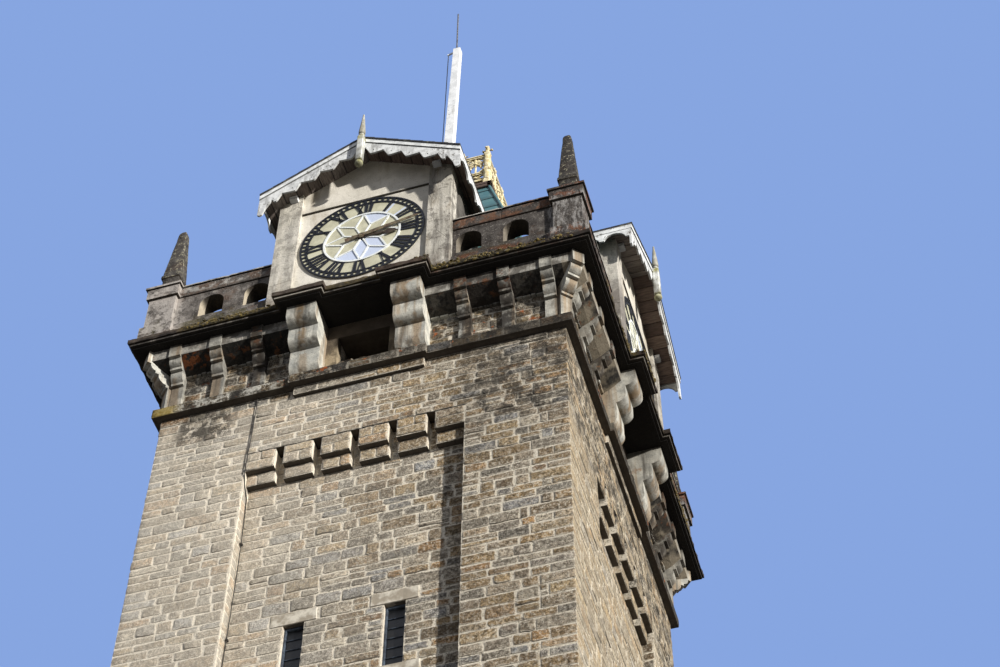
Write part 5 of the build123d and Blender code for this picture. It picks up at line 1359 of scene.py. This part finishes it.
# ---------------------------------------------------------------- pinnacles
psec = [(0.165, 2.590), (0.165, 2.690), (0.150, 2.702), (0.128, 2.712), (0.122, 2.75), (0.122, 2.89), (0.128, 2.925),
        (0.143, 2.938), (0.145, 2.95), (0.145, 2.99), (0.134, 3.006), (0.131, 3.014)]
z = 3.10
while z < 4.10:
    psec.append((0.132 - 0.070 * (z - 3.01) / 1.11, z))
    z += 0.09
psec += [(0.062, 4.118), (0.055, 4.150), (0.044, 4.182), (0.030, 4.205), (0.014, 4.217), (0.002, 4.221)]
mb = MB()
for sx in (-1, 1):
    for sy in (-1, 1):
        rings = []
        for half, z in psec:
            rr = min(0.018, half * 0.5)
            ring = []
            for q in range(4):
                for t in (0.0, 0.5, 1.0):
                    an = q * pi / 2 + t * pi / 2
                    cxx, cyy = half - rr, half - rr
                    sxq, syq = (1, 1, -1, -1)[q], (1, -1, -1, 1)[q]
                    # corner q in order +x+y, -x+y, -x-y, +x-y
                    sxq, syq = ((1, 1), (-1, 1), (-1, -1), (1, -1))[q]
                    x = sxq * cxx + rr * cos(an)
                    y = syq * cyy + rr * sin(an)
                    er = nz(x * 9 + sx * 3, y * 9 + sy * 5, z * 6) * 0.006 * (1 if z > 2.6 else 0)
                    f = 1 - abs(er) / max(half, 0.02)
                    ring.append((sx * 2.92 + x * f, sy * 2.92 + y * f, ZS + z))
                # midpoint of the side to the next corner
                an = (q + 1) * pi / 2
                x, y = ((0, half), (-half, 0), (0, -half), (half, 0))[q]
                er = nz(x * 9 + sx * 3, y * 9 + sy * 5, z * 6) * 0.006
                f = 1 - abs(er) / max(half, 0.02)
                ring.append((sx * 2.92 + x * f, sy * 2.92 + y * f, ZS + z))
            rings.append(ring)
        mb.loft(rings)
mb.build("pinnacles_weathered", CEMENT, "weathered_cement", angle=35, replaces=("pinnacles",))

# ---------------------------------------------------------------- main roof sheets
R0, R1, RA1, RS = ZS + 1.365, ZS + 6.146, 1.223, 0.262
ro = lambda z: RA1 + RS * (R1 - z)
nrm = Vector((1, RS)).normalized()        # (out, up) of the slope's normal
mb = MB()
rows_z = [R1 - 0.002, R1 - 0.14]
while rows_z[-1] > R0 + 0.5:
    rows_z.append(rows_z[-1] - 0.405)
rows_z.append(R0 + 0.01)
for k in range(4):
    rnd = random.Random(500 + k)
    for i in range(len(rows_z) - 1):
        zt_, zb_ = rows_z[i], rows_z[i + 1] - 0.035
        zb_ = max(zb_, R0 + 0.005)
        tt, tb = 0.004, 0.013
        cuts = [-1.0]
        n = max(1, round(2 * ro(zb_) / 0.92))
        for q in range(1, n):
            cuts.append(-1 + 2 * (q + (0.5 if i % 2 else 0.0) - (0.25 if i % 2 else 0)) / n)
        cuts.append(1.0)
        for a, b in zip(cuts, cuts[1:]):
            pk = rnd.random()
            sd = rnd.random()
            nu, nv = 6, 3
            top, bot, ed = [], [], []
            for v in range(nv + 1):
                z = zt_ + (zb_ - zt_) * v / nv
                th = tt + (tb - tt) * v / nv
                for q in range(nu + 1):
                    t = a + (b - a) * q / nu
                    g = 0.0022
                    uu = t * ro(z) + (g if (q == 0 and a > -1) else -g if (q == nu and b < 1) else 0)
                    dd = th + nz(uu * 2.3 + k * 5, z * 2.7, sd * 9) * 0.004
                    # hips: the sheet meets its neighbour's plane
                    top.append(W(k, uu + (dd if b == 1.0 and q == nu else -dd if a == -1.0 and q == 0 else 0) * nrm.x,
                                 ro(z) + dd * nrm.x, z + dd * nrm.y))
                    bot.append(W(k, uu, ro(z) - 0.004, z))
                    ed.append(1.0 if v == nv else 0.0)
            m_ = nu + 1
            fs = []
            for v in range(nv):
                for q in range(nu):
                    p0 = v * m_ + q
                    fs.append((p0, p0 + m_, p0 + m_ + 1, p0 + 1))
            nt = len(top)
            bd = [v * m_ for v in range(nv + 1)] + [nv * m_ + q for q in range(1, nu + 1)] + \
                 [v * m_ + nu for v in range(nv - 1, -1, -1)] + [q for q in range(nu - 1, 0, -1)]
            for p0, p1 in zip(bd, bd[1:] + bd[:1]):
                fs.append((p0, p0 + nt, p1 + nt, p1))
            mb.add(top + bot, fs, (pk, 0.5, sd, 0), ed + ed)
# rolls along the hips
for sx, sy in ((1, 1), (1, -1), (-1, 1), (-1, -1)):
    pts = []
    for i in range(24):
        z = R0 + 0.02 + (R1 - R0 - 0.03) * i / 23
        a = ro(z) + 0.008
        pts.append((sx * a, sy * a, z))
    mb.tube(pts, 0.026, 10, (0.4, 0.5, 0.5, 0.1))
mb.build("roof_sheets", ROOF, "roof_metal", angle=40)

# ---------------------------------------------------------------- gable roofs: slates, ridge, soffit boards
zt0 = lambda u: ZS + 4.700 - 0.586 * abs(u)
zu0 = lambda u: zt0(u) - 0.100
sl = Vector((1, -0.586)).normalized()     # down the slope (u, z)
sn = Vector((0.586, 1)).normalized()      # its normal (u, z)
L_SL = 1.498 / sl.x
mb = MB()
for k in range(4):
    rnd = random.Random(600 + k)
    for s in (-1, 1):
        ncr = 8
        for i in range(ncr):
            d1 = L_SL * (i + 1) / ncr + (0.0 if i == ncr - 1 else 0.0)
            d0 = max(0.0, d1 - L_SL / ncr - 0.06)
            o = 3.479
            first = True
            while o > 1.75:
                w = rnd.uniform(0.15, 0.24) * (0.5 if first and i % 2 else 1)
                first = False
                lo_ = o - w
                um = (d0 + d1) / 2 * sl.x
                zz = zt0(um)
                if lo_ > (ro(zz) if zz < R1 else RA1) - 0.35:
                    t0, t1 = 0.003, 0.012 + rnd.uniform(0, 0.003)
                    pts = []
                    for d, t in ((d0, t0), (d1 - rnd.uniform(0, 0.006), t1)):
                        for oo in (lo_ + 0.002, o - 0.002 if o < 3.478 else o):
                            u, z = d * sl.x, -0.586 * d * sl.x
                            pts.append((u + sn.x * t, oo, z + sn.y * t))
                            pts.append((u - sn.x * 0.002, oo, z - sn.y * 0.002))
                    vs = [W(k, s * p[0], p[1], ZS + 4.700 + p[2]) for p in pts]
                    fs = [(0, 2, 6, 4), (1, 5, 7, 3), (0, 1, 3, 2), (4, 6, 7, 5), (0, 4, 5, 1), (2, 3, 7, 6)]
                    mb.convex(vs, fs, (rnd.random(), 0.5, rnd.random(), 0.0))
                o = lo_
    # ridge capping in lengths
    o = 3.405
    while o > 1.6:
        o2 = max(1.55, o - 0.45)
        rows = []
        for oo, e in ((o2 + 0.003, 0.0), (o - 0.003, 0.0)):
            row = []
            for an in (-62, -40, -20, 0, 20, 40, 62):
                a = radians(an)
                row.append(W(k, 0.075 * sin(a) * 1.5, oo, ZS + 4.700 - 0.058 + 0.075 * cos(a)))
            rows.append(row + [W(k, 0.06, oo, ZS + 4.63), W(k, -0.06, oo, ZS + 4.63)])
        mb.loft(rows, (0.8, 0.5, rnd.random(), 0))
        o = o2
mb.build("slates", SLATE, "slate")

mb = MB()
for k in range(4):
    rnd = random.Random(650 + k)
    # boards under the verge and the side eaves, running out from the wall
    for s in (-1, 1):
        u = 0.0
        while u < 1.46:
            w = min(rnd.uniform(0.150, 0.185), 1.471 - u)
            if w < 0.03:
                break
            drop = rnd.uniform(0.0, 0.008)
            # left-hand soffit boards get a high second channel: painted light where the sun reaches them
            t = (rnd.random(), 0.95 if s < 0 else 0.2, rnd.random(), 0)
            o0 = 3.10 if u + w < 1.29 else 1.75
            a, b = u + 0.007, u + w - 0.007
            for q0, q1 in ([(o0, 3.424)] if o0 > 3 else [(o0, 2.6), (2.606, 3.424)]):
                pts = [(a, q0), (b, q0), (b, q1), (a, q1)]
                vs = [W(k, s * p[0], p[1], zu0(p[0]) + 0.001) for p in pts] + \
                     [W(k, s * p[0], p[1], zu0(p[0]) - 0.016 - drop) for p in pts]
                mb.convex(vs, [(0, 1, 2, 3), (4, 5, 6, 7), (0, 1, 5, 4), (1, 2, 6, 5), (2, 3, 7, 6), (3, 0, 4, 7)], t)
            u += w
    # fascia boards under the deck
    for zz0, zz1, off in ((R1 + 0.004, R1 + 0.060, 0.004), (R1 + 0.066, R1 + 0.120, 0.010)):
        mb.box(k, -1.262 - off, 1.262 + off, 1.20, 1.262 + off, zz0, zz1, 0.005, (0.2, 0.5, rnd.random(), 0))
mb.build("brown_boards", BOARD, "deck_board")

# ends of the wall plates on the pilaster heads
mb = MB()
for k in range(4):
    rnd = random.Random(670 + k)
    for s in (-1, 1):
        mb.box(k, *sorted((s * 1.015, s * 1.135)), 3.06, 3.262, zu0(1.135) - 0.082, zu0(1.135) - 0.020, 0.006, jit=0.002, rnd=rnd)
mb.build("plate_ends", WHITE, "white_timber")

# ---------------------------------------------------------------- gable finials
mb = MB()
FY = 3.503
for k in range(4):
    cxy = W(k, 0, FY, 0)
    h = 0.049
    rings = []
    for hf, c, z in ((0.040, 0.012, 4.002), (0.049, 0.012, 4.015), (0.049, 0.010, 4.630), (0.044, 0.012, 4.652), (0.036, 0.012, 4.660)):
        pts = [(hf, -hf + c), (hf, hf - c), (hf - c, hf), (-hf + c, hf), (-hf, hf - c), (-hf, -hf + c), (-hf + c, -hf), (hf - c, -hf)]
        rings.append([(cxy[0] + a, cxy[1] + b, ZS + z) for a, b in pts])
    mb.loft(rings)
    ball = [(0.060 * sin(radians(a)), ZS + 3.944 - 0.060 * cos(radians(a))) for a in range(2, 150, 12)]
    mb.lathe(cxy[0], cxy[1], ball + [(0.030, ZS + 4.0), (0.030, ZS + 4.015)], 20)
    mb.lathe(cxy[0], cxy[1], [(0.036, ZS + 4.655), (0.046, ZS + 4.662), (0.049, ZS + 4.676), (0.046, ZS + 4.689),
                              (0.036, ZS + 4.696), (0.034, ZS + 4.712), (0.040, ZS + 4.720), (0.049, ZS + 4.736),
                              (0.052, ZS + 4.755), (0.049, ZS + 4.80), (0.042, ZS + 4.89), (0.033, ZS + 5.00),
                              (0.024, ZS + 5.12), (0.016, ZS + 5.21), (0.013, ZS + 5.23), (0.015, ZS + 5.242),
                              (0.012, ZS + 5.262), (0.004, ZS + 5.270)], 20)
mb.build("finials_turned", FINIAL, "white_timber", angle=40, replaces=("gable_finials",))

# ---------------------------------------------------------------- dials
DZ = ZS + 2.617
OG, OF = 3.130, 3.142
ROMAN = ["XII", "I", "II", "III", "IIII", "V", "VI", "VII", "VIII", "IX", "X", "XI"]
iron, white, panes = MB(), MB(), MB()


def bar(mbx, k, p, q, w0, w1, o0, o1):
    """Straight bar from p to q in the dial's plane."""
    d = Vector((q[0] - p[0], q[1] - p[1]))
    n = Vector((-d.y, d.x)).normalized()
    pts = [(p[0] - n.x * w0 / 2, p[1] - n.y * w0 / 2), (q[0] - n.x * w1 / 2, q[1] - n.y * w1 / 2),
           (q[0] + n.x * w1 / 2, q[1] + n.y * w1 / 2), (p[0] + n.x * w0 / 2, p[1] + n.y * w0 / 2)]
    mbx.prism(k, pts, o0, o1)


def pol(r, deg):
    a = radians(deg)
    return (r * sin(a), DZ + r * cos(a))


STAR_R, STAR_I = 0.545, 0.285
for k in range(4):
    iron.ring(k, 0, DZ, 0.912, 0.884, OG, OF + 0.004)
    iron.ring(k, 0, DZ, 0.828, 0.798, OG, OF)
    for i in range(60):
        w = 0.052 if i % 5 == 0 else 0.036
        bar(iron, k, pol(0.822, i * 6), pol(0.890, i * 6), w * 0.94, w, OG, OF)
    for hnum, name in enumerate(ROMAN):
        cdeg = hnum * 30
        ro_, ri_ = 0.806, 0.562
        # widths of the strokes at the middle radius
        wid = {"I": 0.068, "V": 0.118, "X": 0.126}
        tot = sum(wid[c] for c in name)
        x = -tot / 2
        rm = 0.70
        for c in name:
            w = wid[c]
            a0, a1, am = x, x + w, x + w / 2
            an = lambda t, r: cdeg + math.degrees(t / rm)
            if c == "I":
                bar(iron, k, pol(ri_, an(am, 0)), pol(ro_, an(am, 0)), 0.034, 0.049, OG, OF)
            elif c == "V":
                bar(iron, k, pol(ri_, an(am, 0)), pol(ro_, an(a0 + 0.025, 0)), 0.036, 0.050, OG, OF)
                bar(iron, k, pol(ri_, an(am, 0)), pol(ro_, an(a1 - 0.012, 0)), 0.012, 0.014, OG, OF)
            else:
                bar(iron, k, pol(ri_, an(a1 - 0.020, 0)), pol(ro_, an(a0 + 0.025, 0)), 0.037, 0.050, OG, OF)
                bar(iron, k, pol(ri_, an(a0 + 0.010, 0)), pol(ro_, an(a1 - 0.012, 0)), 0.012, 0.014, OG, OF)
            x += w
        # serifs at the head and foot
        for r, wd in ((0.792, tot - 0.005), (0.574, tot * 0.80)):
            n = 6
            for q in range(n):
                t0 = cdeg + math.degrees((-wd / 2 + wd * q / n) / rm)
                t1 = cdeg + math.degrees((-wd / 2 + wd * (q + 1) / n) / rm)
                iron.prism(k, [pol(r - 0.006, t0), pol(r - 0.006, t1), pol(r + 0.006, t1), pol(r + 0.006, t0)], OG, OF - 0.002)
    iron.ring(k, 0, DZ, 0.060, 0.02406, 3.098, OF, 32)
    # white inner ring and eight-point star
    white.ring(k, 0, DZ, 0.566, 0.536, OG, OF + 0.003)
    for i in range(8):
        tip, a, b = pol(STAR_R, i * 45), pol(STAR_I, i * 45 - 22.5), pol(STAR_I, i * 45 + 22.5)
        bar(white, k, a, tip, 0.026, 0.024, OG, OF + 0.001)
        bar(white, k, tip, b, 0.024, 0.026, OG, OF + 0.001)
        bar(white, k, pol(0.05, i * 45 + 22.5), b, 0.022, 0.024, OG, OF)
    # panes of the centre, some in pale blue glass
    blue_k, blue_o = {4: 0.9, 3: 0.85}, {0: 0.8, 3: 0.85, 4: 0.9}
    for i in range(8):
        kite = [pol(0.06, i * 45), pol(STAR_I, i * 45 + 22.5), pol(STAR_R, i * 45), pol(STAR_I, i * 45 - 22.5)]
        panes.prism(k, kite[::-1], OG - 0.001, OG + 0.0012, (blue_k.get(i, 0.0), 0.5, 0.5, 0))
        arc = [pol(STAR_R, i * 45), pol(STAR_I, i * 45 + 22.5), pol(STAR_R, i * 45 + 45)] + \
              [pol(0.55, i * 45 + 45 - 45 * q / 6) for q in range(1, 6)]
        panes.prism(k, arc, OG - 0.001, OG + 0.0012, (blue_o.get(i, 0.0), 0.5, 0.5, 0))
    if k == 0:
        # mended strips of blue glass beside two of the front numerals
        for d0, d1 in ((32.4, 35.6), (50.4, 53.4)):
            strip = [pol(0.572, d0), pol(0.572, d1), pol(0.796, d1 - 0.6), pol(0.796, d0 + 0.3)]
            panes.prism(k, strip[::-1], OG - 0.001, OG + 0.0012, (0.85, 0.5, 0.5, 0))
iron.build("dial_castings", DIRON, "dial_iron", replaces=("dial_frames",))
white.build("dial_star", DWHITE, "dial_iron")
panes.build("dial_panes", DGLASS, "dial_glass")

# ---------------------------------------------------------------- slit window frames
mb = MB()
for k in range(4):
    for zh in HEADS:
        for s in (-1, 1):
            c, b = s * WIN_X, zh - WIN_H
            u0, u1 = c - WIN_W / 2 + 0.001, c + WIN_W / 2 - 0.001
            mb.box(k, u0, u0 + 0.026, 2.482, 2.528, b + 0.001, zh - 0.001, 0.003)
            mb.box(k, u1 - 0.026, u1, 2.482, 2.528, b + 0.001, zh - 0.001, 0.003)
            mb.box(k, u0 + 0.02, u1 - 0.02, 2.482, 2.528, b + 0.001, b + 0.034, 0.003)
            mb.box(k, u0 + 0.02, u1 - 0.02, 2.482, 2.528, zh - 0.030, zh - 0.001, 0.003)
            for q in range(1, 6):
                z = b + 0.03 + (WIN_H - 0.06) * q / 6
                mb.box(k, u0 + 0.02, u1 - 0.02, 2.492, 2.512, z - 0.005, z + 0.005, 0.002)


def make_frame_paint():
    M = Mat("frame_paint", 0.6, 0, 0.4)
    n = M.noise(16.0, 5.0, 0.65)
    c = M.mix(M.rng(n, 0.38, 0.62), C(0.14, 0.165, 0.21), C(0.27, 0.315, 0.37))
    c = M.mix(M.rng(M.noise(30.0, 4.0, 0.7), 0.55, 0.68, 0.0, 0.7), c, C(0.15, 0.14, 0.13))
    M.bump(n, 0.003, 0.5)
    return M.done(c)


mb.build("window_frames", make_frame_paint(), "window_glass")

# ---------------------------------------------------------------- cresting
CZ = ZS + 6.27
CH = 1.178
MODW = 2 * CH / 6
mb, posts = MB(), MB()


def spiral(cu, cz, r0, r1, a0, a1, n=16):
    return [(cu + (r0 + (r1 - r0) * i / n) * cos(radians(a0 + (a1 - a0) * i / n)),
             cz + (r0 + (r1 - r0) * i / n) * sin(radians(a0 + (a1 - a0) * i / n))) for i in range(n + 1)]


def crest_bar(k, pts, r, o=CH):
    g = 1.38
    mb.tube([W(k, u, o, z) for u, z in pts], [q * g for q in r] if isinstance(r, (list, tuple)) else r * g, 6)


for k in range(4):
    rnd = random.Random(800 + k)
    L = CH - 0.04
    mb.box(k, -L, L, CH - 0.026, CH + 0.026, CZ + 0.156, CZ + 0.190, 0.005)
    mb.box(k, -L, L, CH - 0.018, CH + 0.018, CZ + 0.193, CZ + 0.222, 0.004)
    mb.box(k, -L, L, CH - 0.020, CH + 0.020, CZ + 0.358, CZ + 0.382, 0.004)
    mb.box(k, -L, L, CH - 0.027, CH + 0.027, CZ + 0.385, CZ + 0.412, 0.006)
    mb.box(k, -L, L, CH - 0.024, CH + 0.024, CZ + 0.828, CZ + 0.862, 0.006)
    mb.box(k, -L, L, CH - 0.030, CH + 0.030, CZ + 0.868, CZ + 0.908, 0.009)
    for i in range(1, 6):
        u = -CH + i * MODW
        rings = []
        for hf, z in ((0.030, 0.0), (0.030, 0.13), (0.023, 0.15), (0.021, 0.41), (0.028, 0.425), (0.028, 0.455), (0.019, 0.47),
                      (0.016, 0.82), (0.024, 0.842), (0.026, 0.908), (0.020, 0.925), (0.012, 0.945), (0.020, 0.968),
                      (0.026, 0.990), (0.020, 1.012), (0.009, 1.030), (0.007, 1.085), (0.002, 1.118)):
            hf *= 1.22
            rings.append([W(k, u + a * hf, CH + b * hf, CZ + z) for a, b in
                          ((1, -0.6), (1, 0.6), (0.6, 1), (-0.6, 1), (-1, 0.6), (-1, -0.6), (-0.6, -1), (0.6, -1))])
        mb.loft(rings, flip=True)
        for s in (-1, 1):
            mb.tube([W(k, u, CH, CZ + 0.99), W(k, u + s * 0.045, CH, CZ + 0.998), W(k, u + s * 0.062, CH, CZ + 1.0)],
                    [0.009, 0.008, 0.015], 6)
    for i in range(6):
        c = -CH + (i + 0.5) * MODW
        hw = MODW / 2 - 0.022
        # lattice band
        for s in (-1, 1):
            crest_bar(k, [(c - s * hw, CZ + 0.214), (c, CZ + 0.290), (c + s * hw, CZ + 0.366)], 0.011)
            crest_bar(k, [(c - s * hw, CZ + 0.290), (c - s * hw * 0.5, CZ + 0.214)], 0.010)
            crest_bar(k, [(c - s * hw, CZ + 0.290), (c - s * hw * 0.5, CZ + 0.366)], 0.010)
        # boss at the crossing
        bz = CZ + 0.290
        rings = []
        for r, oo in ((0.004, 0.030), (0.018, 0.026), (0.026, 0.016), (0.028, 0.0), (0.026, -0.016), (0.018, -0.026), (0.004, -0.030)):
            rings.append([W(k, c + r * cos(2 * pi * q / 8), CH + oo, bz + r * sin(2 * pi * q / 8)) for q in range(8)])
        mb.loft(rings)
        # scrolls beside the shell
        for s in (-1, 1):
            pts = [(c + s * x, CZ + z) for x, z in
                   [(0.020, 0.415), (0.060, 0.430), (0.105, 0.470), (0.140, 0.520), (0.150, 0.575), (0.130, 0.615), (0.098, 0.622),
                    (0.080, 0.600), (0.084, 0.572), (0.104, 0.566)]]
            crest_bar(k, pts, [0.014, 0.014, 0.014, 0.013, 0.012, 0.012, 0.011, 0.010, 0.010, 0.013])
            pts = [(c + s * x, CZ + z) for x, z in
                   [(0.170, 0.430), (0.135, 0.436), (0.112, 0.462), (0.118, 0.495), (0.142, 0.502), (0.155, 0.484)]]
            crest_bar(k, pts, [0.012, 0.012, 0.011, 0.010, 0.010, 0.013])
            # bracket arch up to the top rail
            pts = [(c + s * x, CZ + z) for x, z in
                   [(0.178, 0.640), (0.172, 0.700), (0.152, 0.760), (0.118, 0.806), (0.070, 0.834), (0.020, 0.842)]]
            crest_bar(k, pts, [0.013, 0.013, 0.013, 0.012, 0.012, 0.011])
            pts = [(c + s * x, CZ + z) for x, z in
                   [(0.176, 0.700), (0.140, 0.690), (0.118, 0.712), (0.126, 0.740), (0.148, 0.742)]]
            crest_bar(k, pts, [0.010, 0.010, 0.010, 0.010, 0.013])
        # shell: lobes round a boss
        sc = CZ + 0.690
        for q in range(9):
            an = radians(90 + (q - 4) * 32)
            lx, lz = cos(an), sin(an)
            rr = [(0.030, 0.015), (0.055, 0.022), (0.085, 0.028), (0.112, 0.024), (0.124, 0.009)]
            rings = []
            for d, wv in rr:
                cu, cz_ = c + lx * d, sc + lz * d
                rings.append([W(k, cu - lz * wv * cos(2 * pi * t / 6), CH + wv * 0.9 * sin(2 * pi * t / 6), cz_ + lx * wv * cos(2 * pi * t / 6))
                              for t in range(6)])
            mb.loft(rings)
        rings = []
        for r, oo in ((0.004, 0.034), (0.022, 0.030), (0.034, 0.018), (0.038, 0.0), (0.034, -0.018), (0.022, -0.030), (0.004, -0.034)):
            rings.append([W(k, c + r * cos(2 * pi * q / 10), CH + oo, sc + r * sin(2 * pi * q / 10)) for q in range(10)])
        mb.loft(rings)
        crest_bar(k, [(c, CZ + 0.408), (c, CZ + 0.52), (c, CZ + 0.66)], [0.014, 0.011, 0.013])
        crest_bar(k, [(c, CZ + 0.79), (c, CZ + 0.842)], [0.012, 0.014])
mb.build("cresting_castings", CREST, "crest_iron", angle=35, replaces=("cresting",))

for sx in (-1, 1):
    for sy in (-1, 1):
        cx, cy = sx * CH, sy * CH
        rings = []
        for hf, z in ((0.066, 0.0), (0.066, 0.11), (0.052, 0.135), (0.050, 0.40), (0.062, 0.418), (0.062, 0.450), (0.050, 0.468),
                      (0.046, 0.50), (0.042, 0.86), (0.052, 0.882), (0.057, 0.905), (0.050, 0.926), (0.030, 0.940), (0.026, 0.985),
                      (0.032, 1.0), (0.032, 1.045), (0.020, 1.060), (0.030, 1.085), (0.034, 1.108), (0.024, 1.132), (0.008, 1.150)):
            rings.append([(cx + a * hf, cy + b * hf, CZ + z) for a, b in
                          ((1, -0.7), (1, 0.7), (0.7, 1), (-0.7, 1), (-1, 0.7), (-1, -0.7), (-0.7, -1), (0.7, -1))])
        posts.loft(rings)
        for dx, dy in ((1, 0), (-1, 0), (0, 1), (0, -1)):
            p = [(cx + dx * d, cy + dy * d, CZ + 1.022) for d in (0.0, 0.030, 0.052, 0.060, 0.072, 0.084, 0.090)]
            posts.tube(p, [0.014, 0.013, 0.012, 0.014, 0.024, 0.018, 0.004], 8)
        # raised panels on the faces
        for dx, dy in ((1, 0), (-1, 0), (0, 1), (0, -1)):
            for z0, z1, off in ((0.16, 0.385, 0.052), (0.52, 0.84, 0.047)):
                p = (cx + dx * off, cy + dy * off)
                rings = []
                for e, q in ((0.0, -0.006), (0.0, 0.004), (0.006, 0.008)):
                    hw = 0.026 - e
                    rings.append([(p[0] + dx * q - dy * hw * a, p[1] + dy * q + dx * hw * a, CZ + (z0 + e if b < 0 else z1 - e))
                                  for a, b in ((-1, -1), (1, -1), (1, 1), (-1, 1))])
                posts.loft(rings)
posts.build("cresting_corner_posts", CREST, "crest_iron", angle=35, replaces=("cresting_posts",))

# ---------------------------------------------------------------- lightning conductor down the front
mb = MB()
pts = [W(0, -1.395, 2.775, ZS - 0.002), W(0, -1.398, 2.772, ZS - 0.25), W(0, -1.404, 2.770, ZS - 0.6), W(0, -1.412, 2.770, ZS - 0.95),
       W(0, -1.420, 2.772, ZS - 1.08), W(0, -1.424, 2.772, ZS - 1.45), W(0, -1.42, 2.72, ZS - 1.66), W(0, -1.415, 2.625, ZS - 1.80),
       W(0, -1.412, 2.612, ZS - 2.1)]
z = ZS - 3.0
while z > 0.8:
    pts.append(W(0, -1.408 + 0.006 * sin(z * 1.7), 2.610 + 0.003 * sin(z * 2.3), z))
    z -= 0.9
pts += [W(0, -1.408, 2.63, 0.66), W(0, -1.408, 2.85, 0.60), W(0, -1.408, 2.862, 0.3), W(0, -1.408, 2.862, 0.01)]
mb.tube(pts, 0.0075, 8)
z = ZS - 2.6
while z > 1.0:
    mb.box(0, -1.428, -1.388, 2.575, 2.624, z, z + 0.022, 0.003)
    z -= 1.6
mb.build("conductor", CABLE, "rod_metal")
